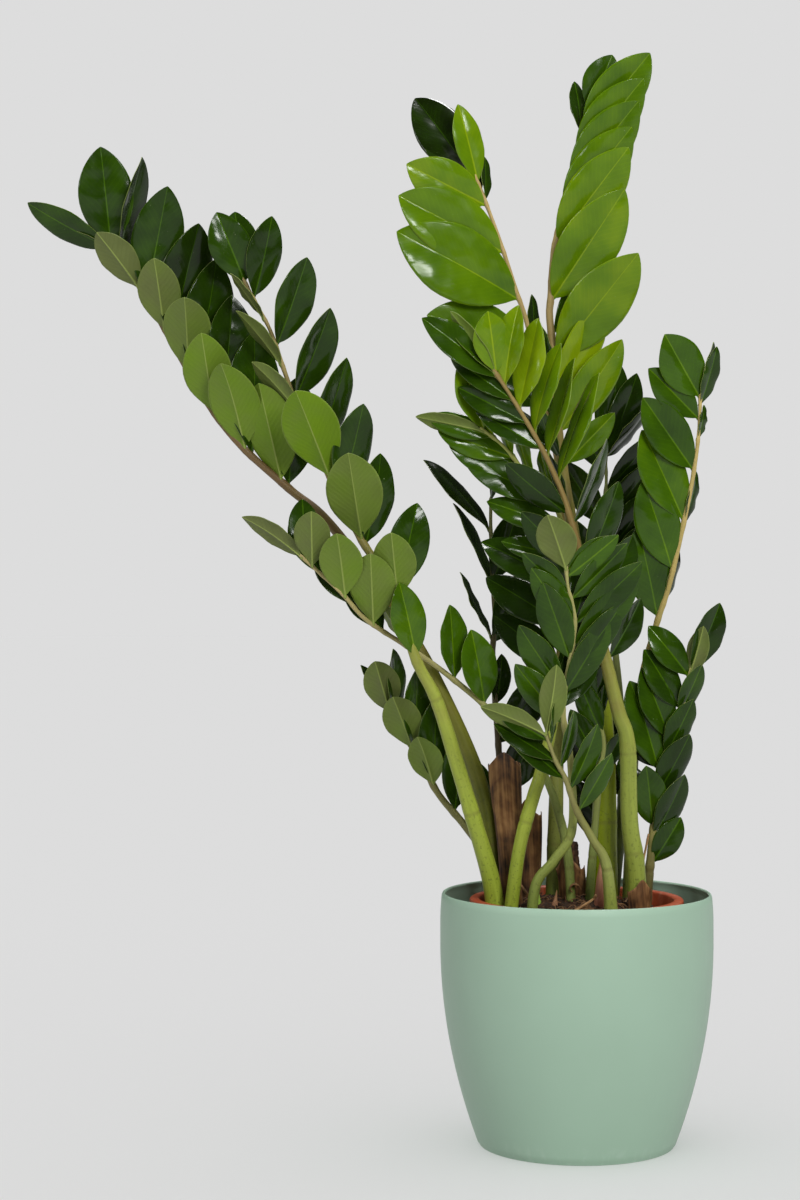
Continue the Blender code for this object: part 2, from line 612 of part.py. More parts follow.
def add_leaflets(stalk, frond, tools):
    """Joins a compound leaf's leaflets to its stalk."""
    leaflets = bpy.data.collections.new(frond.name + "_leaflets")
    tools.children.link(leaflets)
    for i, (foot, axes, size, breadth) in enumerate(place_leaflets(frond)):
        name = f"{frond.name}_leaflet_{i}"
        as_tool(add_object(name, leaflet_mesh(name, foot, axes, size, breadth), leaflets))
    joined(stalk, leaflets)


def pot_wall_radius(height):
    """The cover pot's outer radius: a parabola that widens from the foot and ends upright."""
    short = max(0.0, 1 - height / POT_UPRIGHT_FROM)
    return POT_RADIUS - (POT_RADIUS - POT_FOOT_RADIUS) * short**2


def build_cover_pot(group, material):
    """The tapered cover pot, open at the top, with a flat foot and a rounded rim."""
    heights = [5, 35, 80, 130, POT_UPRIGHT_FROM, POT_HEIGHT - 2]
    outer = [(pot_wall_radius(z), z) for z in reversed(heights)]
    inner = [(pot_wall_radius(z) - POT_WALL, z) for z in heights]
    rim = [(POT_RADIUS - POT_WALL + 1, POT_HEIGHT), (POT_RADIUS - 1, POT_HEIGHT)]
    foot = [(POT_FOOT_RADIUS - 1.5, 0.0), (0.0, 0.0)]
    return turned("cover_pot", [(0.0, POT_FLOOR), (POT_FOOT_RADIUS - POT_WALL - 2, POT_FLOOR)] + inner + rim
                  + outer + foot, POT_SEGMENTS, group, material)


def growing_wall_radius(height):
    """The growing pot's outer radius under its lip: a straight taper."""
    share = (height - GROW_BASE) / (GROW_TOP - GROW_BASE)
    return GROW_BASE_RADIUS + (GROW_TOP_RADIUS - GROW_BASE_RADIUS) * share


def build_growing_pot(group, tools, material):
    """The growing pot: a tapered tub with a turned-down lip and a ring of drain holes."""
    floor_top = GROW_BASE + GROW_FLOOR
    lip_foot = GROW_TOP - LIP_DROP
    profile = [
        (0.0, floor_top),
        (growing_wall_radius(floor_top) - GROW_WALL, floor_top),
        (GROW_TOP_RADIUS - GROW_WALL, GROW_TOP - 2),
        (GROW_TOP_RADIUS - GROW_WALL + 1.5, GROW_TOP),
        (LIP_RADIUS - 1.5, GROW_TOP),
        (LIP_RADIUS, GROW_TOP - 2),
        (LIP_RADIUS, lip_foot + 1),
        (LIP_RADIUS - 1, lip_foot),
        (growing_wall_radius(lip_foot), lip_foot),
        (GROW_BASE_RADIUS, GROW_BASE),
        (0.0, GROW_BASE),
    ]
    pot = turned("growing_pot", profile, GROW_SEGMENTS, group, material)
    shape = bmesh.new()
    for i in range(DRAIN_HOLES):
        angle = math.tau * i / DRAIN_HOLES
        place = Matrix.Translation(metres((DRAIN_CIRCLE * math.cos(angle), DRAIN_CIRCLE * math.sin(angle),
                                           GROW_BASE + GROW_FLOOR / 2)))
        bmesh.ops.create_cone(shape, cap_ends=True, segments=12, radius1=DRAIN_RADIUS * MM,
                              radius2=DRAIN_RADIUS * MM, depth=GROW_FLOOR * 3 * MM, matrix=place)
    mesh = bpy.data.meshes.new("drain_holes")
    shape.to_mesh(mesh)
    shape.free()
    holes = as_tool(add_object("drain_holes", mesh, tools))
    cut = pot.modifiers.new("drain", "BOOLEAN")
    cut.operation = "DIFFERENCE"
    cut.object = holes
    cut.solver = "EXACT"
    return pot


def build_mix(group, sockets, material):
    """The peat, a low mound that fills the growing pot and is cut round everything that stands in it."""
    edge = growing_wall_radius(MIX_EDGE) - GROW_WALL - GAP
    base = growing_wall_radius(MIX_BASE) - GROW_WALL - GAP
    drop = MIX_CROWN - MIX_EDGE
    mound = [(edge * share, MIX_CROWN - drop * share**2) for share in (0.0, 0.35, 0.65, 0.86, 1.0)]
    mix = turned("potting_mix", mound + [(base, MIX_BASE), (0.0, MIX_BASE)], GROW_SEGMENTS, group, material)
    cut = mix.modifiers.new("sockets", "BOOLEAN")
    cut.operation = "DIFFERENCE"
    cut.operand_type = "COLLECTION"
    cut.collection = sockets
    cut.solver = "EXACT"
    return mix


def add_socket(piece, sockets):
    """A cutter that leaves a little room round the foot of a round piece in the mix."""
    route, sides = round_outline(piece)
    name = piece.name + "_socket"
    kept = 2 + sum(point.z < MIX_CROWN * MM for point in route[1:])
    girth = [along(piece.girth, i / (len(route) - 1)) + SOCKET_ROOM for i in range(kept)]
    below = route[0] + (route[0] - route[1]).normalized() * SOCKET_ROOM * MM
    mesh = tube_mesh(name, [below, *route[1:kept]], girth, sides)
    as_tool(add_object(name, mesh, sockets))


def build_sheath(sheath, group, material):
    """A papery sheath: a flat sheet wrapped round a stalk's foot and torn along its top."""
    shape = bmesh.new()
    bmesh.ops.create_grid(shape, x_segments=8, y_segments=5, size=0.5)
    foot, top = metres(sheath.foot), metres(sheath.top)
    for vert in shape.verts:
        across, up = vert.co.x, vert.co.y + 0.5
        angle = math.radians(sheath.facing + sheath.wrap * across)
        radius = along(sheath.radius, up) + 0.8 * math.sin(9 * across + 5 * up)
        torn = sheath.tear * math.cos(7 * across * math.pi) * up**3
        centre = foot.lerp(top, up)
        vert.co = centre + Vector((radius * math.cos(angle), radius * math.sin(angle), torn)) * MM
    mesh = bpy.data.meshes.new(sheath.name)
    shape.to_mesh(mesh)
    shape.free()
    mesh.shade_smooth()
    thing = add_object(sheath.name, mesh, group, material)
    skin = thing.modifiers.new("skin", "SOLIDIFY")
    skin.thickness = SHEATH_THICKNESS * MM
    skin.offset = 0.0
    return thing


def add_sheath_socket(sheath, sockets):
    """A ring-shaped room in the mix for a sheath's foot."""
    reach = max(sheath.radius) + 2
    mesh = bpy.data.meshes.new(sheath.name + "_socket")
    shape = bmesh.new()
    low = sheath.foot[2] - GAP * 3
    high = MIX_CROWN + 12
    place = Matrix.Translation(metres((sheath.foot[0], sheath.foot[1], (low + high) / 2)))
    bmesh.ops.create_cone(shape, cap_ends=True, segments=16, radius1=reach * MM, radius2=reach * MM,
                          depth=(high - low) * MM, matrix=place)
    shape.to_mesh(mesh)
    shape.free()
    as_tool(add_object(sheath.name + "_socket", mesh, sockets))


def main():
    """Builds every piece of the potted plant."""
    clear_scene()
    parts = new_collection("potted_zz_plant")
    tools = new_collection("tools")
    sockets = bpy.data.collections.new("sockets")
    tools.children.link(sockets)
    finishes = make_finishes()
    build_cover_pot(parts, finishes["cover_pot_plastic"])
    build_growing_pot(parts, tools, finishes["growing_pot_plastic"])
    stalks = [build_round(frond, parts, finishes["frond_leaf"]) for frond in FRONDS]
    for sprig in SPRIGS:
        build_round(sprig, parts, finishes[sprig.finish])
    for piece in (*FRONDS, *SPRIGS):
        add_socket(piece, sockets)
    for sheath in SHEATHS:
        build_sheath(sheath, parts, finishes["dry_sheath"])
        add_sheath_socket(sheath, sockets)
    build_mix(parts, sockets, finishes["potting_mix"])
    for stalk, frond in zip(stalks, FRONDS):
        add_leaflets(stalk, frond, tools)


main()
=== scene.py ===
"""Looks of the potted zz plant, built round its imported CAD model.

Fifteen compound leaves (here fronds), a few shoots and their dry remains stand in peat, in a growing pot
inside a tapered cover pot. Lengths in the tables are in millimetres, as a grower would measure them, and
MM turns them to metres. +Z is up, and the front of the plant is seen when looking along +Y.
"""

import logging
import math
import random
from collections.abc import Sequence
from dataclasses import dataclass, field
from enum import Enum

import bmesh
import bpy
import numpy as np
from bpy.types import Collection, ID, Material, Node, NodeSocket, NodeTree, Object
from mathutils import Matrix, Vector
from mathutils.geometry import interpolate_bezier


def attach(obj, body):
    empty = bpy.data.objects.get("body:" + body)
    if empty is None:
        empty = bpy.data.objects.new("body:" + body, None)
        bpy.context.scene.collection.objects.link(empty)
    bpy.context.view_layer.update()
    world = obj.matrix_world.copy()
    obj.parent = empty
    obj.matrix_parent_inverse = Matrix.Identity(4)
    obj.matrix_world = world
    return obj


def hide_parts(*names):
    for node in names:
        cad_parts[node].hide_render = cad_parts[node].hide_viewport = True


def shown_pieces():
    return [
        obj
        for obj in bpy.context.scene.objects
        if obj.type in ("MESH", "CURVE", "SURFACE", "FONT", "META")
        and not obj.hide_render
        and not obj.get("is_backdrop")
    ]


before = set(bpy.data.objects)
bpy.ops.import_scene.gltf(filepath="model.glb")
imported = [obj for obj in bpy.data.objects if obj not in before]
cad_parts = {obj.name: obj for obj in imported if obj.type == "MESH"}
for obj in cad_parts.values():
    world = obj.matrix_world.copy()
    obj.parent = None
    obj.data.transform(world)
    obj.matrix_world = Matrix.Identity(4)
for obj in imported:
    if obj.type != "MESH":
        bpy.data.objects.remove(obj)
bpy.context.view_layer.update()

LOG = logging.getLogger("zz_plant")
MM = 0.001
ROUTE_STEPS = 200  # points on a stalk's route, and the places that a leaflet may sit
CURVE_STEPS = 12
AXIS = 0.2  # radius at which the ends of a turned body close
WIDEST_NEAR_BASE, WIDEST_NEAR_TIP = 0.85, 0.80  # powers that shape a leaflet's outline


class Slot(Enum):
    """The record's material slots."""

    COVER_POT = "cover_pot_plastic"
    GROWING_POT = "growing_pot_plastic"
    MIX = "potting_mix"
    LEAF = "frond_leaf"
    SHEATH = "dry_sheath"
    SHOOT = "young_shoot"
    DRY_STALK = "dry_stalk"


class Face(Enum):
    """The two faces of a leaflet, by their place among the foliage's materials."""

    UPPER = 0
    UNDER = 1


def linear(hex_colour: str) -> tuple[float, float, float, float]:
    """Turns an sRGB hex colour to linear values.

    Args:
        hex_colour: A colour such as "#A3C2AE".

    Returns:
        Red, green, blue and an alpha of 1.
    """
    channels = [int(hex_colour[i:i + 2], 16) / 255 for i in (1, 3, 5)]
    return (*(c / 12.92 if c <= 0.04045 else ((c + 0.055) / 1.055) ** 2.4 for c in channels), 1.0)


def fill(node: Node, inputs: dict) -> None:
    """Sets or links a node's inputs.

    Args:
        node: The node.
        inputs: What each input holds, by its name or number. An output is linked, and so is a node, by its
            first output in use. Anything else is a value.
    """
    for name, held in inputs.items():
        if isinstance(held, Node):
            held = next(output for output in held.outputs if output.enabled)
        if isinstance(held, NodeSocket):
            node.id_data.links.new(held, node.inputs[name])
        else:
            node.inputs[name].default_value = held


def add_node(tree: NodeTree, kind: str, inputs: dict | None = None,
             stops: Sequence[tuple[float, str]] = (), **settings) -> Node:
    """Adds a shader node with its settings and links.

    Args:
        tree: The material's or the world's node tree.
        kind: The node's type, without "ShaderNode".
        inputs: What its inputs hold, as fill takes them.
        stops: A colour ramp's stops, each a position and an sRGB hex colour.
        settings: The node's own properties, by name.

    Returns:
        The new node.
    """
    node = tree.nodes.new("ShaderNode" + kind)
    for name, value in settings.items():
        setattr(node, name, value)
    fill(node, inputs or {})
    for i, (position, hex_colour) in enumerate(stops):
        if i == len(node.color_ramp.elements):
            node.color_ramp.elements.new(1.0)
        node.color_ramp.elements[i].position = position
        node.color_ramp.elements[i].color = linear(hex_colour)
    return node


def per_mm(size: float) -> float:
    """The scale of a pattern whose features are this many millimetres across, in metres."""
    return 1.0 / (size * MM)


@dataclass(frozen=True)
class Finish:
    """A surface finish, which builds one material."""

    name: str

    def build(self) -> Material:
        """Makes the material and dresses its shader.

        Returns:
            The material, named for what it is and how it was made.
        """
        material = bpy.data.materials.new(self.name)
        material.use_nodes = True
        self.dress(material.node_tree, material.node_tree.nodes["Principled BSDF"])
        return material

    def dress(self, tree: NodeTree, shader: Node) -> None:
        """Adds this finish's nodes.

        Args:
            tree: The material's node tree.
            shader: Its Principled shader.
        """
        raise NotImplementedError


@dataclass(frozen=True)
class MouldedPolypropylene(Finish):
    """Polypropylene, injection-moulded against an etched tool: one even colour and a soft, wide sheen."""

    colour: str
    drift: str  # where the colour flowed a little darker in the mould
    worn: str  # dust and scuffs, low on the wall or on the lip
    worn_from: float  # height where the wear is strongest
    worn_to: float  # height where it has faded out
    wear: float
    roughness: float
    etch: float = 0.9  # the real etch is about 0.1 mm, drawn as coarse as shows

    def dress(self, tree: NodeTree, shader: Node) -> None:
        """Adds colour drift, wear by height and the etched texture.

        Args:
            tree: The material's node tree.
            shader: Its Principled shader.
        """
        place = add_node(tree, "TexCoord").outputs["Object"]
        flow = add_node(tree, "TexNoise", {"Vector": place, "Scale": per_mm(70), "Detail": 2.0})
        body = add_node(tree, "Mix", {0: flow, 6: linear(self.colour), 7: linear(self.drift)},
                        data_type="RGBA")
        height = add_node(tree, "SeparateXYZ", {0: place})
        low = add_node(tree, "MapRange", {0: height.outputs[2], 1: self.worn_from * MM, 2: self.worn_to * MM,
                                          3: self.wear, 4: 0.0}, interpolation_type="SMOOTHSTEP")
        streaks = add_node(tree, "Mapping", {"Vector": place, "Scale": (1.0, 1.0, 0.22)})
        marks = add_node(tree, "TexNoise", {"Vector": streaks, "Scale": per_mm(5), "Detail": 4.0})
        picked = add_node(tree, "MapRange", {0: marks, 1: 0.5, 2: 0.72})
        worn = add_node(tree, "Math", {0: low, 1: picked}, operation="MULTIPLY")
        colour = add_node(tree, "Mix", {0: worn, 6: body, 7: linear(self.worn)}, data_type="RGBA")
        dull = add_node(tree, "MapRange", {0: marks, 1: 0.25, 2: 0.8, 3: self.roughness - 0.04,
                                           4: self.roughness + 0.07})
        etched = add_node(tree, "TexNoise", {"Vector": place, "Scale": per_mm(self.etch), "Detail": 2.0})
        bump = add_node(tree, "Bump", {"Height": etched, "Strength": 0.12, "Distance": 0.05 * MM})
        fill(shader, {"Base Color": colour, "Roughness": dull, "Normal": bump})


@dataclass(frozen=True)
class DampPeat(Finish):
    """Potting mix of damp milled peat: dark, matt and crumbly, with paler bits where it has dried."""

    damp: str = "#150D08"
    crumb: str = "#3A2517"
    dry: str = "#6E4E31"
    grain: float = 2.6

    def dress(self, tree: NodeTree, shader: Node) -> None:
        """Adds the crumbs' colours and their relief.

        Args:
            tree: The material's node tree.
            shader: Its Principled shader.
        """
        place = add_node(tree, "TexCoord").outputs["Object"]
        crumbs = add_node(tree, "TexNoise", {"Vector": place, "Scale": per_mm(self.grain), "Detail": 5.0,
                                             "Roughness": 0.65})
        colour = add_node(tree, "ValToRGB", {0: crumbs}, stops=((0.34, self.damp),
                                                                (0.56, self.crumb), (0.74, self.dry)))
        wet = add_node(tree, "MapRange", {0: crumbs, 1: 0.3, 2: 0.6, 3: 0.7, 4: 0.97})
        bump = add_node(tree, "Bump", {"Height": crumbs, "Strength": 0.9, "Distance": 0.8 * MM})
        fill(shader, {"Base Color": colour, "Roughness": wet, "Normal": bump})


@dataclass(frozen=True)
class LeafCuticle(Finish):
    """A leaflet's waxy upper face: a wet-looking gloss over deep green, with a pale midrib."""

    tones: tuple[tuple[float, str], ...] = ((0.0, "#0F1A02"), (0.25, "#1F3603"), (0.5, "#375605"),
                                            (0.75, "#557405"), (1.0, "#7A900A"))
    midrib: float = 0.3  # how much lighter in tone the midrib is
    margin: float = 0.22  # how much lighter in tone the edge is
    dust: str = "#8E9A72"
    vein_spacing: float = 6.5
    blotch: float = 30.0
    shine: float = 0.13  # roughness where the wax is clean
    dusty: float = 0.26

    def dress(self, tree: NodeTree, shader: Node) -> None:
        """Adds the tone, midrib, side veins, pale margin and wax.

        Args:
            tree: The material's node tree.
            shader: Its Principled shader.
        """
        parts = leaf_parts(tree, self.vein_spacing, self.blotch)
        lines = add_node(tree, "Math", {0: parts["midrib"], 1: parts["vein_tint"]}, operation="ADD")
        lifted = add_node(tree, "Math", {0: lines, 1: self.midrib, 2: parts["tone"]},
                          operation="MULTIPLY_ADD")
        thin = add_node(tree, "Math", {0: parts["margin"], 1: self.margin, 2: lifted},
                        operation="MULTIPLY_ADD")
        tone = add_node(tree, "ValToRGB", {0: thin}, stops=self.tones)
        flecks = add_node(tree, "TexNoise", {"Vector": parts["place"], "Scale": per_mm(2.2), "Detail": 1.0})
        fleck = add_node(tree, "MapRange", {0: flecks, 1: 0.78, 2: 0.84, 3: 0.0, 4: 0.5})
        dusted = add_node(tree, "Mix", {0: fleck, 6: tone, 7: linear(self.dust)}, data_type="RGBA")
        wax = add_node(tree, "TexNoise", {"Vector": parts["place"], "Scale": per_mm(16), "Detail": 1.0})
        gloss = add_node(tree, "MapRange", {0: wax, 1: 0.42, 2: 0.72, 3: self.shine, 4: self.dusty})
        ripple = add_node(tree, "TexNoise", {"Vector": parts["place"], "Scale": per_mm(19), "Detail": 0.0})
        waved = add_node(tree, "Bump", {"Height": ripple, "Strength": 0.8, "Distance": 2.4 * MM})
        bump = add_node(tree, "Bump", {"Height": parts["vein"], "Strength": 0.3, "Distance": 0.05 * MM,
                                       "Normal": waved})
        fill(shader, {"Base Color": dusted, "Roughness": gloss, "Specular IOR Level": 0.28, "Normal": bump})


@dataclass(frozen=True)
class LeafUnderside(Finish):
    """A leaflet's lower face, without the wax: matt grey-green with a bright raised midrib."""

    tones: tuple[tuple[float, str], ...] = ((0.0, "#474F26"), (0.25, "#636C3A"), (0.5, "#677A30"),
                                            (0.75, "#648215"), (1.0, "#74900E"))
    midrib: str = "#8C9A4E"
    margin: str = "#7F8C48"
    vein_spacing: float = 6.5
    blotch: float = 28.0
    roughness: float = 0.5

    def dress(self, tree: NodeTree, shader: Node) -> None:
        """Adds the tone, midrib and faint veins.

        Args:
            tree: The material's node tree.
            shader: Its Principled shader.
        """
        parts = leaf_parts(tree, self.vein_spacing, self.blotch)
        tone = add_node(tree, "ValToRGB", {0: parts["tone"]}, stops=self.tones)
        veined = add_node(tree, "Mix", {0: parts["vein_tint"], 6: tone, 7: linear("#9AA58C")},
                          data_type="RGBA", blend_type="MULTIPLY")
        ribbed = add_node(tree, "Mix", {0: parts["midrib"], 6: veined, 7: linear(self.midrib)},
                          data_type="RGBA")
        edged = add_node(tree, "Mix", {0: parts["margin"], 6: ribbed, 7: linear(self.margin)},
                         data_type="RGBA")
        grain = add_node(tree, "TexNoise", {"Vector": parts["place"], "Scale": per_mm(1.5), "Detail": 3.0})
        matt = add_node(tree, "MapRange", {0: grain, 1: 0.3, 2: 0.7, 3: self.roughness - 0.05,
                                           4: self.roughness + 0.08})
        skin = add_node(tree, "Bump", {"Height": grain, "Strength": 0.2, "Distance": 0.08 * MM})
        bump = add_node(tree, "Bump", {"Height": parts["vein"], "Strength": 0.5, "Distance": 0.15 * MM,
                                       "Normal": skin})
        fill(shader, {"Base Color": edged, "Roughness": matt, "Specular IOR Level": 0.22, "Normal": bump})


def leaf_parts(tree: NodeTree, vein_spacing: float,
               blotch: float) -> dict[str, NodeSocket | Node]:
    """Adds what both faces of a leaflet share, from the values that its mesh carries.

    Args:
        tree: The material's node tree.
        vein_spacing: Between neighbouring side veins, in millimetres.
        blotch: The size of the blotches in its tone, in millimetres.

    Returns:
        Outputs by name: place, tone, midrib, margin, vein (its relief) and vein_tint.
    """
    place = add_node(tree, "Attribute", attribute_name="leaf_place").outputs["Vector"]
    # Each leaflet's tone: partly its age, partly painted light and shade.
    tone = add_node(tree, "Attribute", attribute_name="leaf_tone_and_shade").outputs["Fac"]
    edge = add_node(tree, "Attribute", attribute_name="leaf_edge").outputs["Fac"]
    split = add_node(tree, "SeparateXYZ", {0: place})
    out = add_node(tree, "Math", {0: split.outputs[1]}, operation="ABSOLUTE")
    thin = add_node(tree, "MapRange", {0: split.outputs[0], 1: 0.0, 2: 95 * MM, 3: 1.1 * MM, 4: 0.3 * MM})
    core = add_node(tree, "Math", {0: out, 1: thin}, operation="DIVIDE")
    midrib = add_node(tree, "MapRange", {0: core, 1: 0.4, 2: 1.1, 3: 0.8, 4: 0.0},
                      interpolation_type="SMOOTHSTEP")
    lag = add_node(tree, "Math", {0: out, 1: 1.25}, operation="MULTIPLY")
    lead = add_node(tree, "Math", {0: split.outputs[0], 1: lag}, operation="SUBTRACT")
    stray = add_node(tree, "TexNoise", {"Vector": place, "Scale": per_mm(26), "Detail": 1.0})
    turns = add_node(tree, "Math", {0: lead, 1: math.tau * per_mm(vein_spacing)}, operation="MULTIPLY")
    bend = add_node(tree, "Math", {0: stray, 1: 7.0, 2: turns}, operation="MULTIPLY_ADD")
    wave = add_node(tree, "Math", {0: bend}, operation="SINE")
    vein = add_node(tree, "MapRange", {0: wave, 1: -1.0, 2: 1.0}).outputs[0]
    line = add_node(tree, "Math", {0: vein, 1: 7.0}, operation="POWER")
    vein_tint = add_node(tree, "Math", {0: line, 1: 0.09}, operation="MULTIPLY").outputs[0]
    margin = add_node(tree, "MapRange", {0: edge, 1: 0.955, 2: 1.0, 3: 0.0, 4: 0.6}).outputs[0]
    cloud = add_node(tree, "TexNoise", {"Vector": place, "Scale": per_mm(blotch), "Detail": 2.0})
    shift = add_node(tree, "MapRange", {0: cloud, 1: 0.25, 2: 0.75, 3: -0.1, 4: 0.1})
    mottled = add_node(tree, "Math", {0: tone, 1: shift}, operation="ADD").outputs[0]
    return {"place": place, "tone": mottled, "midrib": midrib, "margin": margin, "vein": vein,
            "vein_tint": vein_tint}


@dataclass(frozen=True)
class StalkSkin:
    """A stalk's colours from its foot to its tip."""

    foot: str
    low: str
    high: str
    tip: str


@dataclass(frozen=True)
class FleshyStalk(Finish):
    """The smooth skin of a fleshy stalk: a soft sheen, faint streaks along it and dark speckles low down."""

    skin: StalkSkin
    scar: str = "#5A4A2C"
    speckle: str = "#35361A"
    streak: float = 3.0
    roughness: float = 0.42

    def dress(self, tree: NodeTree, shader: Node) -> None:
        """Adds the colours along the stalk, its joints, speckles and streaks.

        Args:
            tree: The material's node tree.
            shader: Its Principled shader.
        """
        place = add_node(tree, "Attribute", attribute_name="stalk_place").outputs["Vector"]
        rise = add_node(tree, "Attribute", attribute_name="stalk_rise").outputs["Fac"]
        scar = add_node(tree, "Attribute", attribute_name="stalk_scar").outputs["Fac"]
        drawn = add_node(tree, "Mapping", {"Vector": place, "Scale": (1.0, 1.0, 0.07)})
        streaks = add_node(tree, "TexNoise", {"Vector": drawn, "Scale": per_mm(self.streak), "Detail": 3.0})
        cloud = add_node(tree, "TexNoise", {"Vector": place, "Scale": per_mm(24), "Detail": 2.0})
        drift = add_node(tree, "MapRange", {0: cloud, 1: 0.3, 2: 0.7, 3: -0.06, 4: 0.06})
        climb = add_node(tree, "Math", {0: rise, 1: drift}, operation="ADD")
        base = add_node(tree, "ValToRGB", {0: climb}, stops=((0.04, self.skin.foot),
                         (0.3, self.skin.low), (0.62, self.skin.high), (0.95, self.skin.tip)))
        grooves = add_node(tree, "ValToRGB", {0: streaks}, stops=((0.3, "#9C9C82"), (0.7, "#FFFFFF")))
        lined = add_node(tree, "Mix", {0: 0.34, 6: base, 7: grooves}, data_type="RGBA", blend_type="MULTIPLY")
        spots = add_node(tree, "TexNoise", {"Vector": place, "Scale": per_mm(2.4), "Detail": 3.0})
        low = add_node(tree, "MapRange", {0: rise, 1: 0.02, 2: 0.4, 3: 0.5, 4: 0.1})
        spot = add_node(tree, "MapRange", {0: spots, 1: 0.58, 2: 0.68})
        spotted = add_node(tree, "Math", {0: spot, 1: low}, operation="MULTIPLY")
        speckled = add_node(tree, "Mix", {0: spotted, 6: lined, 7: linear(self.speckle)}, data_type="RGBA")
        ragged = add_node(tree, "Math", {0: scar, 1: streaks}, operation="MULTIPLY")
        scarred = add_node(tree, "MapRange", {0: ragged, 1: 0.2, 2: 0.5, 3: 0.0, 4: 0.32})
        colour = add_node(tree, "Mix", {0: scarred, 6: speckled, 7: linear(self.scar)}, data_type="RGBA")
        sheen = add_node(tree, "MapRange", {0: streaks, 1: 0.3, 2: 0.75, 3: self.roughness - 0.06,
                                            4: self.roughness + 0.14})
        bump = add_node(tree, "Bump", {"Height": streaks, "Strength": 0.35, "Distance": 0.3 * MM})
        fill(shader, {"Base Color": colour, "Roughness": sheen, "Specular IOR Level": 0.3, "Normal": bump})


@dataclass(frozen=True)
class DriedTissue(Finish):
    """Plant tissue that died and dried: papery, fibrous along its length and quite matt."""

    dark: str
    middle: str
    pale: str
    fibre: float
    roughness: float = 0.82
    relief: float = 0.5

    def dress(self, tree: NodeTree, shader: Node) -> None:
        """Adds the fibres, the stains and the relief.

        Args:
            tree: The material's node tree.
            shader: Its Principled shader.
        """
        place = add_node(tree, "Attribute", attribute_name="stalk_place").outputs["Vector"]
        drawn = add_node(tree, "Mapping", {"Vector": place, "Scale": (1.0, 1.0, 0.05)})
        fibres = add_node(tree, "TexNoise", {"Vector": drawn, "Scale": per_mm(self.fibre), "Detail": 4.0})
        stains = add_node(tree, "TexNoise", {"Vector": place, "Scale": per_mm(17), "Detail": 3.0})
        both = add_node(tree, "Math", {0: fibres, 1: stains}, operation="ADD")
        share = add_node(tree, "MapRange", {0: both, 1: 0.68, 2: 1.32})
        colour = add_node(tree, "ValToRGB", {0: share}, stops=((0.12, self.dark),
                                                               (0.5, self.middle), (0.92, self.pale)))
        dull = add_node(tree, "MapRange", {0: stains, 1: 0.3, 2: 0.7, 3: self.roughness - 0.14,
                                           4: self.roughness + 0.08})
        bump = add_node(tree, "Bump", {"Height": both, "Strength": self.relief, "Distance": 0.6 * MM})
        fill(shader, {"Base Color": colour, "Roughness": dull, "Normal": bump})


Run = float | tuple[float, ...]
Point = tuple[float, float, float]


@dataclass(frozen=True)
class Rank:
    """A row of leaflets up one side of a stalk.

    A value is one number for the whole row, or a list that runs evenly from its lowest leaflet to its top
    one. There is a length, in millimetres, for each leaflet. span is where the first and last sit, as shares
    of the stalk's length. lean is the midrib's angle from upright towards +X, reach its angle towards the
    front, and turn the twist about the midrib: 0 shows the upper face to the front, 90 the edge and 180 the
    underside. breadth is the width as a share of the length. tone runs from 0, dark, to 1, bright: partly the
    leaflet's age, from old and dark to young and bright, and partly painted light and shade, higher for
    leaflets lit from the front and lower for those in shade at the back.
    """

    span: Run
    length: Run
    lean: Run
    reach: Run
    turn: Run
    breadth: float
    tone: Run

    @property
    def count(self) -> int:
        """How many leaflets it has."""
        return np.size(self.length)


@dataclass(frozen=True)
class Stem:
    """A round stem: its middle line, and its diameters along it from foot to tip."""

    name: str
    route: tuple[Point, ...]
    girth: tuple[float, ...]

    def line(self, steps: int) -> list[Vector]:
        """The smooth middle line in metres, in this many steps."""
        return smooth_route([Vector(point) * MM for point in self.route], steps)

    def radii(self, steps: int) -> np.ndarray:
        """The radius in millimetres at each point of that line."""
        return along(self.girth, np.linspace(0.0, 1.0, steps + 1)) / 2


@dataclass(frozen=True)
class Frond(Stem):
    """A compound leaf: a stem, the shares of its length where it has joints, its skin and its leaflets."""

    joints: tuple[float, ...]
    skin: StalkSkin
    ranks: tuple[Rank, ...]
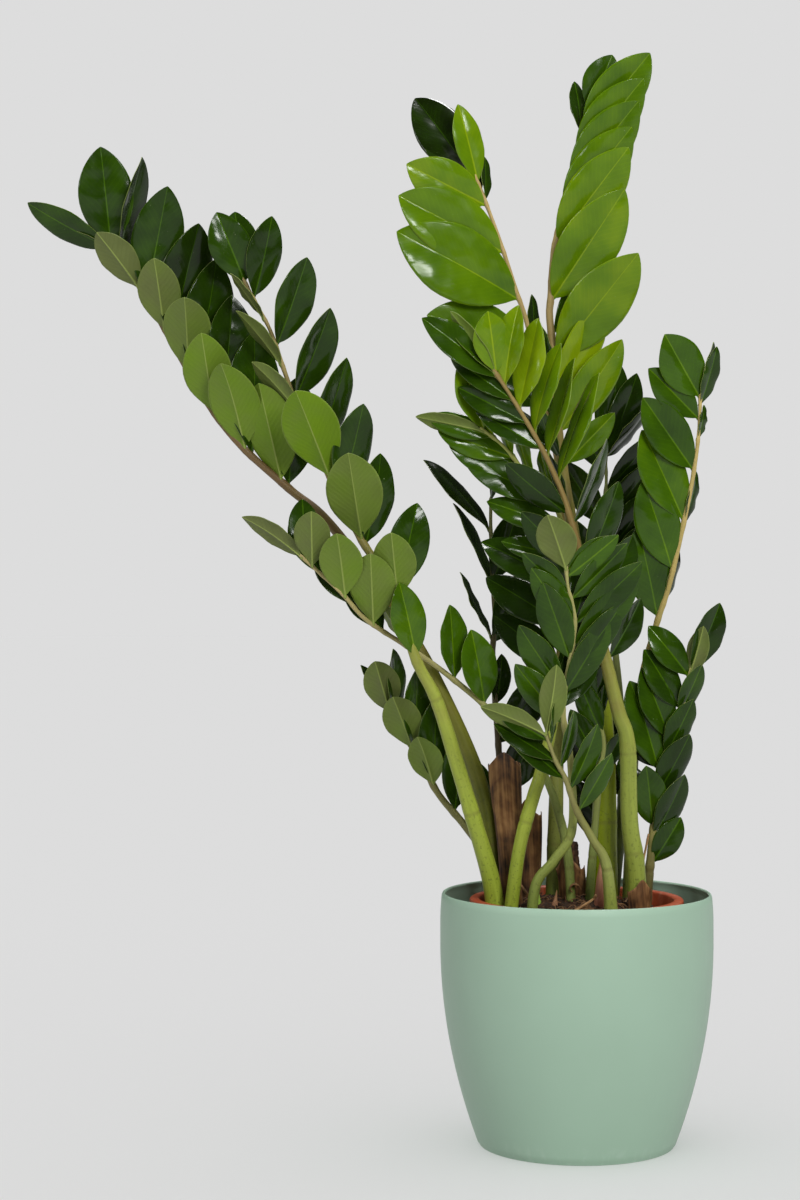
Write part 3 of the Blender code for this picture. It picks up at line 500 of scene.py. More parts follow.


# Each Rank gives, in order, its span, length, lean, reach, turn, breadth and tone.
# A leaflet's tone is partly its age and partly painted light: higher for the lit leaflets at the front, lower
# for those in shade at the back.
FRONDS = (
    Frond("frond_far_left", route=((-67, 21, 200), (-75, 18, 258), (-90, 12, 332), (-125, 12, 415),
        (-162, 12, 480), (-226, 5, 568), (-263, 0, 600), (-309, -5, 641), (-341, -5, 682), (-368, -5, 728),
        (-400, -5, 783), (-431, -5, 826)),
        girth=(20, 17, 14, 12, 8, 6, 4, 3), joints=(0.1,),
        skin=StalkSkin("#4E5618", "#6E6E26", "#6C5636", "#7E6A44"),
        ranks=(
            Rank((0.62, 0.975), (102, 114, 114, 112, 110, 104, 95), (6, 2, 8, 14, 15, 12, 14),
                 (5, 5, 8, 8, 8, 8, 5), (25, 30, 35, 35, 25, 15, 68), 0.46,
                 (0.22, 0.2, 0.16, 0.12, 0.16, 0.2, 0.1)),
            Rank((0.63, 0.93), (98, 95, 89, 87, 78, 68), (-12, -12, -6, 2, -4, -36), (22, 32, 40, 42, 40, 30),
                 (162, 170, 178, 178, 178, 160), 0.5, (0.62, 0.66, 0.6, 0.42, 0.32, 0.28)),
            Rank(0.99, 93, -5, 8, 5, 0.54, 0.26),
            Rank(0.99, 87, -63, 5, -35, 0.34, 0.24),
            Rank(0.99, 53, -60, -10, 80, 0.4, 0.12),
        )),
    Frond("frond_left_front", route=((-73, -14, 200), (-79, -17, 243), (-95, -25, 299), (-110, -30, 349),
        (-129, -35, 408), (-148, -37, 446), (-168, -34, 508), (-197, -32, 553), (-225, -32, 608),
        (-250, -32, 661), (-265, -32, 701), (-278, -32, 739), (-290, -32, 763), (-305, -32, 791)),
        girth=(18, 15, 13, 9, 7, 5, 4, 2.5), joints=(0.17, 0.34),
        skin=StalkSkin("#94A436", "#97A340", "#8A7E48", "#A08E5C"),
        ranks=(
            Rank((0.5, 0.965), (85, 85, 89, 89, 89, 85, 76), (14, 12, 14, 20, 24, 20, 14),
                 (0, 5, 5, 5, 5, 5, 5), (20, 30, 40, 50, 45, 40, 35), 0.46,
                 (0.3, 0.28, 0.22, 0.18, 0.22, 0.26, 0.2)),
            Rank(0.4, 74, -12, 10, 20, 0.46, 0.5),
            Rank((0.49, 0.69), (76, 98, 98), (-5, -8, -21), (35, 36, 36), (178, 176, 172), 0.52,
                 (0.55, 0.5, 0.72)),
            Rank((0.79, 0.93), (64, 66, 53), (-42, -36, -34), 15, (125, 120, 110), 0.42, (0.4, 0.35, 0.3)),
            Rank(0.99, 68, -22, 12, 5, 0.56, 0.3),
            Rank(0.99, 72, -9, -15, 10, 0.5, 0.2),
            Rank(0.985, 35, -48, -12, 70, 0.4, 0.18),
        )),
    Frond("frond_left_low", route=((-5, -20, 200), (-11, -15, 279), (-34, -8, 347), (-68, -8, 383),
        (-88, -8, 405), (-116, -8, 428), (-136, -8, 443), (-157, -12, 457), (-193, -34, 481),
        (-214, -44, 504), (-252, -52, 539)),
        girth=(9, 8, 6, 5, 4, 2.5), joints=(0.12,),
        skin=StalkSkin("#6E7A3A", "#8E9A52", "#96905A", "#A89A66"),
        ranks=(
            Rank((0.5, 0.58), (72, 70), (-10, -2), 8, (20, 35), 0.48, (0.45, 0.5)),
            Rank((0.7, 0.965), (48, 76, 70, 59), (-30, -2, -6, 0), (12, 32, 32, 32), (120, 176, 176, 172),
                 0.56, (0.35, 0.5, 0.55, 0.4)),
            Rank((0.76, 0.94), (64, 64, 59), (-36, -34, -30), (-15, -15, -12), (20, 25, 20), 0.46,
                 (0.16, 0.2, 0.24)),
            Rank(0.99, 66, -53, 0, 140, 0.36, 0.24),
            Rank(0.985, 57, -3, -12, 10, 0.5, 0.2),
        )),
    Frond("frond_left_back_low", route=((-66, 38, 200), (-80, 37, 255), (-101, 36, 287), (-126, 40, 317),
        (-145, 42, 351), (-165, 42, 380), (-176, 42, 405)),
        girth=(9, 8, 7, 6, 4, 2.5), joints=(0.2,), skin=StalkSkin("#4E4A2A", "#6C6A3A", "#7E7C48", "#96905A"),
        ranks=(
            Rank((0.33, 0.9), (74, 76, 81, 78, 70), (2, 4, 2, 4, 2), (5, 5, 5, 8, 8), (30, 25, 30, 40, 60),
                 0.46, (0.25, 0.2, 0.26, 0.3)),
            Rank((0.6, 0.94), (59, 64, 61), (-16, -20, -16), (25, 28, 28), (165, 170, 172), 0.56,
                 (0.45, 0.4, 0.3)),
            Rank(0.99, 42, -32, 0, 60, 0.36, 0.1),
        )),
    # frond_left_back is partly painted shade: its near-black skin and its dark leaflets fill the gap behind
    # the front stalks with darkness.
    Frond("frond_left_back", route=((-50, 53, 200), (-62, 53, 280), (-68, 60, 347), (-70, 62, 376),
        (-72, 64, 401), (-74, 66, 451), (-72, 66, 477), (-74, 66, 511), (-76, 66, 561), (-76, 66, 595)),
        girth=(10, 8, 6, 5, 4, 3), joints=(0.25,), skin=StalkSkin("#33281E", "#43382A", "#5A5238", "#7A7A4C"),
        ranks=(
            Rank((0.66, 0.92), (72, 87, 93), (-24, -22, -40), 0, (75, 70, 65), 0.4, (0.1, 0.12, 0.06)),
            Rank((0.5, 0.8), (51, 78, 74), (10, 26, 20), 0, (30, 30, 20), 0.46, (0.12, 0.2, 0.1)),
            Rank((0.29, 0.41), (76, 81), (28, 34), 4, (20, 25), 0.5, (0.1, 0.14)),
            Rank(0.99, 64, 8, 0, 60, 0.4, 0.1),
        )),
    Frond("frond_tall_left", route=((-20, 20, 200), (-13, 44, 405), (-6, 58, 536), (-12, 60, 621),
        (-21, 58, 668), (-30, 54, 698), (-42, 46, 755), (-54, 40, 790), (-68, 36, 832), (-83, 34, 872),
        (-93, 32, 896)),
        girth=(16, 14, 10, 8, 7, 5, 4, 3), joints=(0.1, 0.3),
        skin=StalkSkin("#6E7A34", "#8A8A46", "#A08A56", "#B39C66"),
        ranks=(
            Rank((0.76, 0.955), (106, 132, 112, 85), (-74, -62, -63, -65), 15, (10, 10, 10, 0), 0.53,
                 (0.58, 0.66, 0.72, 0.76)),
            Rank((0.76, 0.96), (53, 45), (4, 2), -10, (58, 62), 0.4, (0.1, 0.12)),
            Rank(0.985, 76, -14, 8, 20, 0.38, 0.78),
            Rank((0.985, 0.97), (110, 89), (-33, -38), (-14, -12), (10, 20), 0.47, (0.04, 0.1)),
            Rank((0.62, 0.74), (85, 85, 85), (-60, -64, -66), (-5, 0, 5), (20, 20, 15), 0.4,
                 (0.12, 0.16, 0.2)),
        )),
    Frond("frond_tall_right", route=((28, 10, 200), (27, 12, 286), (27, 16, 364), (23, 22, 428),
        (16, 28, 477), (1, 35, 555), (-13, 40, 647), (-18, 40, 723), (-22, 40, 764), (-21, 40, 780),
        (-19, 40, 815), (-14, 40, 845), (16, 40, 967)),
        girth=(24, 22, 17, 12, 9, 7, 5, 3), joints=(0.12, 0.38),
        skin=StalkSkin("#7C8C0C", "#7E8A22", "#8E7A4C", "#A38E5E"),
        ranks=(
            Rank((0.68, 0.82), (127, 125, 112), (39, 34, 38), (20, 20, 18), (10, 8, 5), 0.44,
                 (0.76, 0.78, 0.76)),
            Rank((0.855, 0.955), (104, 102, 100, 98), (39, 40, 40, 41), (18, 18, 15, 12), 5, 0.46,
                 (0.66, 0.62, 0.58, 0.56)),
            Rank((0.71, 0.9), (89, 89, 85, 78), (38, 36, 36, 36), -14, 15, 0.4, (0.4, 0.42, 0.4, 0.38)),
            Rank(0.955, 53, -6, -6, 40, 0.4, 0.2),
            Rank(0.985, 57, 24, 5, 5, 0.6, 0.4),
            Rank((0.55, 0.63), (70, 106, 102), (44, 34, 26), (8, 10, 8), (10, 15, 20), 0.36,
                 (0.62, 0.85, 0.9)),
            Rank((0.5, 0.66), (59, 59, 59, 55), (-26, -26, -24, -22), 16, -60, 0.34, (0.3, 0.34, 0.38, 0.4)),
        )),
    Frond("frond_mid_right", route=((54, -30, 200), (52, -30, 254), (46, -30, 298), (44, -30, 369),
        (36, -30, 397), (25, -30, 442), (8, -28, 513), (-10, -28, 581), (-28, -30, 625), (-45, -32, 656),
        (-65, -34, 688), (-78, -36, 707)),
        girth=(18, 16, 15, 12, 8, 6, 4, 3), joints=(0.13, 0.3),
        skin=StalkSkin("#87943A", "#8E9A42", "#86703F", "#8E7A48"),
        ranks=(
            Rank((0.78, 0.965), (104, 93, 85, 83, 74), (16, 15, 15, 11, 9), 8, (-70, -66, -60, -40, -30),
                 0.42, (0.7, 0.74, 0.8, 0.84, 0.78)),
            Rank(0.99, 57, -8, 10, 10, 0.62, 0.82),
            Rank((0.84, 0.985), (70, 72, 70, 70), (-60, -62, -54, -40), -5, (20, 10, 15, 50), 0.34,
                 (0.2, 0.24, 0.3, 0.34)),
            Rank((0.98, 0.99), (89, 70), (-51, -34), (5, 0), (20, 130), 0.36, (0.3, 0.5)),
            Rank((0.46, 0.7), (68, 83, 89, 85), (30, 26, 24, 22), (-10, -8, -5, 0), (30, 30, 40, 60), 0.42,
                 (0.14, 0.2, 0.24)),
            Rank((0.44, 0.72), (68, 76, 76, 74), (-34, -42, -48, -52), (-8, -5, 0, 0), (-20, -20, -30, -30),
                 0.42, (0.16, 0.2, 0.2)),
        )),
    Frond("frond_mid_left", route=((-64, -35, 200), (-54, -32, 273), (-41, -30, 321), (-35, -28, 339),
        (-22, -15, 389), (-10, -8, 462), (-10, -5, 526), (-16, -5, 576), (-31, -5, 596), (-47, -5, 615),
        (-67, -8, 639), (-89, -12, 656)),
        girth=(13, 12, 12, 9, 6, 5, 4, 2.5), joints=(0.2,),
        skin=StalkSkin("#8A9A30", "#97A33E", "#A0A850", "#AAAE5E"),
        ranks=(
            Rank((0.7, 0.97), (60, 73, 88, 84, 74, 63), (-76, -70, -64, -66, -70, -72), 0,
                 (15, 15, 10, 10, 10, 10), 0.36, (0.3, 0.36, 0.4, 0.4, 0.44, 0.5)),
            Rank((0.8, 0.97), (53, 53, 57, 61), (-16, -20, -20, -22), 10, (-70, -70, -60, -50), 0.42,
                 (0.74, 0.7, 0.72, 0.76)),
            Rank((0.49, 0.65), (85, 93, 91), (-50, -56, -62), (-20, -18, -16), (12, 16, 16), 0.4,
                 (0.12, 0.16, 0.2)),
            Rank(0.99, 70, -18, 10, 15, 0.46, 0.68),
            Rank(0.99, 64, -77, 0, 140, 0.34, 0.4),
        )),
    Frond("frond_back_right", route=((38, 60, 200), (49, 70, 309), (47, 75, 403), (38, 80, 498),
        (33, 85, 581), (35, 85, 611), (34, 85, 643)),
        girth=(11, 10, 8, 6, 4, 2.5), joints=(0.2,),
        skin=StalkSkin("#4A5628", "#5E6A34", "#6E7440", "#7E8450"),
        ranks=(
            Rank((0.7, 0.98), (74, 76, 74, 70, 66), (32, 36, 40, 42, 44), 0, (20, 20, 25, 30, 60), 0.42,
                 (0.08, 0.1, 0.12, 0.12, 0.14)),
            Rank((0.72, 0.95), (72, 74, 68), (-36, -34, -30), 0, -30, 0.44, (0.1, 0.1, 0.12)),
            # These low, very dark leaflets at the back are painted shade, filling the gap behind the front
            # stalks.
            Rank((0.14, 0.36), (78, 83, 81), (-34, -38, -30), 0, -20, 0.5, (0.06, 0.08, 0.08)),
            Rank((0.98, 0.99), (93, 83), (8, 24), (5, 0), 25, 0.4, (0.2, 0.16)),
        )),
    Frond("frond_right", route=((51, 40, 200), (54, 30, 312), (61, 25, 415), (75, 20, 473), (85, 15, 506),
        (92, 10, 535), (104, 5, 592), (110, 0, 630), (113, 0, 660), (114, 0, 689)),
        girth=(12, 10, 8, 6, 5, 4, 2.5), joints=(0.2, 0.42),
        skin=StalkSkin("#66702E", "#8A8C48", "#B09C5C", "#BBA668"),
        ranks=(
            Rank((0.57, 0.95), (89, 89, 93, 83, 68), (-13, -19, -25, -36, -46), (10, 10, 10, 10, 15),
                 (12, 10, 15, 10, 10), 0.48, (0.4, 0.46, 0.5, 0.42, 0.36)),
            Rank(0.99, 70, -32, 20, 10, 0.62, 0.44),
            Rank((0.91, 0.975), (34, 57), (14, 16), 0, (55, 50), 0.4, (0.2, 0.26)),
            Rank(0.99, 53, 14, 0, 60, 0.36, 0.2),
            Rank((0.6, 0.75), (53, 53), (20, 18), -5, 60, 0.36, (0.12, 0.14)),
        )),
    Frond("frond_right_low", route=((65, 15, 200), (71, 12, 277), (73, 12, 297), (75, 10, 331), (90, 8, 378),
        (100, 5, 407), (106, 5, 436)),
        girth=(9, 8, 7, 5, 4, 2.5), joints=(0.2,), skin=StalkSkin("#55502C", "#7A7440", "#A39A5A", "#A8A264"),
        ranks=(
            Rank((0.58, 0.965), (89, 72, 65, 60), (-17, -21, -30, -38), 3, (20, 15, 10, 15), 0.47,
                 (0.34, 0.3, 0.28, 0.3)),
            Rank(0.99, 68, 25, 0, 30, 0.46, 0.24),
            Rank(0.96, 51, 16, 10, 150, 0.42, 0.3),
            Rank((0.32, 0.8), (68, 68, 61, 55), (27, 28, 26, 24), 9, (30, 25, 30, 40), 0.46,
                 (0.22, 0.2, 0.26, 0.3)),
            Rank(0.36, 64, -8, 20, 0, 0.5, 0.3),
            Rank(0.22, 53, 33, 5, 10, 0.5, 0.3),
            Rank((0.42, 0.76), (59, 57, 53), (-34, -38, -42), -6, 8, 0.42, (0.12, 0.14, 0.12)),
        )),
    Frond("frond_centre", route=((-45, -50, 200), (-40, -50, 243), (-24, -52, 265), (-8, -56, 294),
        (-10, -62, 356), (-17, -66, 403), (-9, -70, 454), (-7, -72, 484), (-13, -74, 510), (-15, -76, 529)),
        girth=(10, 9, 7, 5, 4, 2.5), joints=(0.28,),
        skin=StalkSkin("#73823A", "#8A9448", "#A09C5E", "#A6A266"),
        ranks=(
            Rank((0.66, 0.97), (78, 78, 85, 81, 70, 59), (32, 40, 45, 47, 46, 51), (8, 5, 5, 5, 8, 10),
                 (20, 20, 20, 15, 15, 15), 0.36, (0.26, 0.3, 0.3, 0.32, 0.34, 0.4)),
            Rank((0.58, 0.92), (70, 72, 74, 66, 57), (-40, -36, -20, -36, -50), (5, 5, 8, 5, 5),
                 (-25, -20, -20, -20, -25), 0.42, (0.4, 0.36, 0.32, 0.34, 0.36)),
            Rank((0.62, 0.86), (83, 87, 81), (22, 14, 20), (-22, -22, -20), (10, 5, 10), 0.42,
                 (0.14, 0.16, 0.12)),
            Rank(0.99, 59, -20, 28, 165, 0.6, 0.34),
            Rank(0.985, 49, 52, 10, 15, 0.44, 0.4),
        )),
    Frond("frond_centre_low", route=((28, -60, 200), (22, -66, 261), (9, -72, 286), (-6, -78, 313),
        (-16, -84, 341), (-25, -88, 357), (-34, -92, 382)),
        girth=(14, 11, 8, 6, 4, 2.5), joints=(0.3,),
        skin=StalkSkin("#86963E", "#8E9650", "#7E7A46", "#94905A"),
        ranks=(
            Rank((0.76, 0.96), (70, 64, 53), (-50, -56, -60), 8, (30, 40, 20), 0.34, (0.24, 0.2, 0.26)),
            Rank(0.99, 68, -65, 18, 150, 0.34, 0.3),
            Rank(0.99, 64, 9, 10, 160, 0.4, 0.34),
            Rank((0.6, 0.93), (61, 64, 53, 42), (30, 24, 16, 8), 8, (30, 30, 50, 70), 0.38,
                 (0.4, 0.36, 0.3, 0.26)),
        )),
    Frond("frond_centre_inner", route=((9, -12, 200), (16, -10, 289), (22, -11, 348), (24, -12, 368),
        (19, -13, 390), (10, -14, 408)),
        girth=(9, 8, 6, 5, 3), joints=(0.3,), skin=StalkSkin("#5A6A2E", "#6E7A3C", "#7E8448", "#8A9050"),
        ranks=(
            Rank(0.9, 32, 10, 6, 15, 0.34, 0.2),
            Rank((0.7, 0.95), (59, 57, 53), (-30, -24, -18), 8, -10, 0.4, (0.2, 0.24, 0.2)),
            Rank((0.66, 0.97), (47, 47), (30, 22), (-14, -8), 20, 0.4, 0.3),
            Rank(0.99, 53, -30, 5, 0, 0.44, 0.26),
        )),
)

SHOOTS = (
    Stem("young_shoot_left", ((-22, -30, 203), (-22, -31, 220), (-20, -32, 236)), (6, 7, 1.6)),
    Stem("young_shoot_right", ((17, -38, 203), (18, -38, 235), (20, -37, 262), (21, -36, 274)), (8, 9, 7, 2)),
)
GREEN_SHOOT = Stem("young_shoot_green", ((-35, -28, 203), (-36, -29, 222), (-37, -31, 238)), (5, 5.5, 1.6))
STUMP = Stem("dried_stump", ((-2, 4, 200), (-2, 4, 235), (-4, 3, 262), (-3, 2, 276)), (16, 17, 15, 11))
DRY_STALKS = (
    Stem("dry_stalk_long", ((38, -10, 212), (50, 2, 229), (60, 0, 254), (66, -4, 284)), (2.6, 2.4, 2.2, 1.8)),
    Stem("dry_stalk_left", ((-34, -21, 214), (-44, -23, 228), (-55, -23, 246), (-55, -21, 270)),
         (3, 2.8, 2.4, 1.8)),
    Stem("dry_stalk_front", ((-20, -62, 211), (-4, -60, 222), (10, -50, 229), (14, -52, 234)),
         (3, 3, 2.6, 2)),
)


@dataclass(frozen=True)
class Sheath:
    """A papery sheath that wraps part of the way round a stalk's foot, torn along its top."""

    name: str
    foot: Point
    top: Point
    radius: tuple[float, float]
    facing: float
    wrap: float
    tear: float


SHEATHS = (
    Sheath("sheath_left", (-58, -1, 207), (-66, 4, 352), (9.5, 14), facing=-80, wrap=230, tear=7),
    # sheath_back is mainly painted shade: a dark sheet behind the stalks that fills the gap there with
    # darkness.
    Sheath("sheath_back", (-40, 34, 207), (-42, 36, 304), (10, 11.5), facing=-90, wrap=200, tear=9),
    Sheath("sheath_middle", (-2, 4, 204), (-6, 2, 258), (11.5, 14), facing=-100, wrap=170, tear=9),
    Sheath("sheath_right", (54, -30, 205), (52, -30, 240), (11.5, 12.5), facing=-60, wrap=150, tear=6),
)


def along(values: Run, share: float | np.ndarray) -> float | np.ndarray:
    """The value at a share of the way along an evenly spaced list, with straight runs between."""
    listed = np.atleast_1d(values)
    return np.interp(share * (len(listed) - 1), range(len(listed)), listed)


def bell(away: np.ndarray | float, width: float) -> np.ndarray:
    """1 where the distance is nothing, and fading out evenly beyond the width."""
    return np.exp(-((away / width) ** 2))


def ring_angles(sides: int) -> np.ndarray:
    """The directions of the points round a ring."""
    return np.linspace(0.0, math.tau, sides, endpoint=False)


def smooth_route(points: Sequence[Vector], steps: int) -> list[Vector]:
    """Points spaced evenly along one smooth curve.

    Args:
        points: What the curve goes through.
        steps: How many equal steps it is divided into.

    Returns:
        The points, one more than the steps.
    """
    ends = [points[0] * 2 - points[1], *points, points[-1] * 2 - points[-2]]
    fine: list[Vector] = []
    for before, start, end, after in zip(ends, ends[1:], ends[2:], ends[3:]):
        handles = start + (end - before) / 6, end - (after - start) / 6
        fine += interpolate_bezier(start, *handles, end, CURVE_STEPS + 1)[:-1]
    fine.append(points[-1])
    walked = np.cumsum([0.0, *((b - a).length for a, b in zip(fine, fine[1:]))])
    wanted = np.linspace(0.0, walked[-1], steps + 1)
    columns = [np.interp(wanted, walked, [p[axis] for p in fine]) for axis in range(3)]
    return [Vector(p) for p in zip(*columns)]


def leaflet_axes(lean: float, reach: float, turn: float) -> tuple[Vector, Vector, Vector]:
    """A leaflet's directions.

    Args:
        lean: The midrib's angle from upright towards +X, in degrees.
        reach: Its angle towards the front, in degrees.
        turn: The leaflet's twist about its midrib, in degrees.

    Returns:
        The midrib, the side and the upper face's normal.
    """
    lean, reach, turn = math.radians(lean), math.radians(reach), math.radians(turn)
    midrib = Vector((math.sin(lean) * math.cos(reach), -math.sin(reach), math.cos(lean) * math.cos(reach)))
    to_front = Vector((0.0, -1.0, 0.0))
    facing = (to_front - midrib * to_front.dot(midrib)).normalized()
    upper = Matrix.Rotation(turn, 3, midrib) @ facing
    return midrib, upper.cross(midrib), upper


def half_width(share: np.ndarray) -> np.ndarray:
    """A leaflet's half width at shares of its length, as a share of the widest."""
    widest = WIDEST_NEAR_BASE / (WIDEST_NEAR_BASE + WIDEST_NEAR_TIP)
    peak = widest**WIDEST_NEAR_BASE * (1 - widest) ** WIDEST_NEAR_TIP
    return share**WIDEST_NEAR_BASE * (1 - share) ** WIDEST_NEAR_TIP / peak


class MeshDraft:
    """The points, faces and carried values of one piece while it is put together."""

    def __init__(self) -> None:
        """Starts with nothing in it."""
        self.points: list[np.ndarray] = []
        self.faces: list[tuple[int, ...]] = []
        self.finishes: list[int] = []
        self.values: dict[str, list[np.ndarray]] = {}
        self.total = 0

    def add_loft(self, rings: np.ndarray, values: dict[str, np.ndarray] | None = None,
                 finishes: Sequence[int] = (0,)) -> None:
        """Adds a closed body drawn through a row of closed rings, capped at both ends.

        Args:
            rings: Points in metres, by ring, place round the ring, and X, Y, Z.
            values: What each point carries, by name: a number or three numbers.
            finishes: The material of the strip after each place round the ring, or one for all.
        """
        count, around = rings.shape[:2]
        index = self.total + np.arange(count * around).reshape(count, around)
        for row, ahead in zip(index.tolist(), index[1:].tolist()):
            for place in range(around):
                beside = (place + 1) % around
                self.faces.append((row[place], row[beside], ahead[beside], ahead[place]))
                self.finishes.append(finishes[place % len(finishes)])
        self.faces += [tuple(reversed(index[0].tolist())), tuple(index[-1].tolist())]
        self.finishes += [finishes[0]] * 2
        self.points.append(rings.reshape(-1, 3))
        for name, value in (values or {}).items():
            self.values.setdefault(name, []).append(np.asarray(value, np.float32).reshape(count * around, -1))
        self.total += count * around

    def to_object(self, name: str, *materials: Material) -> Object:
        """Makes the object, smooth and facing out.

        Args:
            name: Its name.
            materials: Its materials, in the order that the finishes count them.

        Returns:
            The object, linked to the scene.
        """
        mesh = bpy.data.meshes.new(name)
        mesh.from_pydata(np.concatenate(self.points).tolist(), [], self.faces)
        for material in materials:
            mesh.materials.append(material)
        mesh.polygons.foreach_set("material_index", self.finishes)
        shape = bmesh.new()
        shape.from_mesh(mesh)
        bmesh.ops.recalc_face_normals(shape, faces=shape.faces)
        shape.to_mesh(mesh)
        shape.free()
        for value_name, blocks in self.values.items():
            block = np.concatenate(blocks)
            wide = block.shape[1] == 3
            carried = mesh.attributes.new(value_name, "FLOAT_VECTOR" if wide else "FLOAT", "POINT")
            carried.data.foreach_set("vector" if wide else "value", block.ravel())
        mesh.shade_smooth()
        return linked(name, mesh)


def linked(name: str, data: ID) -> Object:
    """A new object of this mesh, lamp or camera, linked to the scene."""
    thing = bpy.data.objects.new(name, data)
    bpy.context.scene.collection.objects.link(thing)
    return thing


def collected(name: str, things: Sequence[Object]) -> Collection:
    """A new collection that holds these objects, for a lamp that lights nothing else."""
    collection = bpy.data.collections.new(name)
    for thing in things:
        collection.objects.link(thing)
    return collection


def settle(piece: Object, slot: Slot, *nodes: str) -> None:
    """Fixes a piece to the object and reports it.

    Args:
        piece: The piece, in place.
        slot: The record's material slot that its finish stands for. Not used.
        nodes: The CAD nodes that it replaces.
    """
    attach(piece, "root")
    if nodes:
        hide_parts(*nodes)
    LOG.info("%s: %d faces", piece.name, len(piece.data.polygons))


def settle_loft(name: str, material: Material, slot: Slot, rings: np.ndarray,
                nodes: Sequence[str] = (), **values: np.ndarray) -> None:
    """Builds and settles a piece that is one loft.

    Args:
        name: The piece's name.
        material: Its material.
        slot: The record's material slot that its finish stands for.
        rings: Its rings, as MeshDraft.add_loft takes them.
        nodes: The CAD nodes that it replaces.
        values: What each point carries, by name.
    """
    draft = MeshDraft()
    draft.add_loft(rings, values)
    settle(draft.to_object(name, material), slot, *nodes)


def circle_rings(profile: Sequence[tuple[float, float]], sides: int) -> np.ndarray:
    """The rings of a turned body.

    Args:
        profile: Its (radius, height) points in millimetres.
        sides: The points round each ring.

    Returns:
        The rings in metres.
    """
    angle = ring_angles(sides)
    radius, height = np.array(profile, float).T
    ring = np.stack([np.cos(angle), np.sin(angle)], axis=1)
    flat = radius[:, None, None] * ring[None]
    tall = np.broadcast_to(height[:, None, None], (len(radius), sides, 1))
    return np.concatenate([flat, tall], axis=2) * MM


def tube_rings(route: Sequence[Vector], radii: np.ndarray, sides: int) -> tuple[np.ndarray, np.ndarray]:
    """The rings of a tube, turned as little as possible from one to the next.

    Args:
        route: Its middle line in metres.
        radii: Its radius in millimetres, by point of the route, or by point and place round the ring.
        sides: The points round each ring.

    Returns:
        The rings, and the place of each point on the unrolled tube: across twice, then along.
    """
    line = np.array(route)
    ways = np.gradient(line, axis=0)
    ways /= np.linalg.norm(ways, axis=1)[:, None]
    side = np.cross(ways[0], (0.0, 1.0, 0.1))
    angle = ring_angles(sides)
    radii = radii * MM
    radii = np.broadcast_to(radii if np.ndim(radii) == 2 else radii[:, None], (len(line), sides))
    rings = np.empty((len(line), sides, 3))
    for i, way in enumerate(ways):
        side = side - way * side.dot(way)
        side /= np.linalg.norm(side)
        other = np.cross(way, side)
        outward = np.outer(np.cos(angle), side) + np.outer(np.sin(angle), other)
        rings[i] = line[i] + radii[i][:, None] * outward
    walked = np.concatenate([[0.0], np.cumsum(np.linalg.norm(np.diff(line, axis=0), axis=1))])
    place = np.stack([radii * np.cos(angle), radii * np.sin(angle),
                      np.broadcast_to(walked[:, None], radii.shape)], axis=2)
    return rings, place


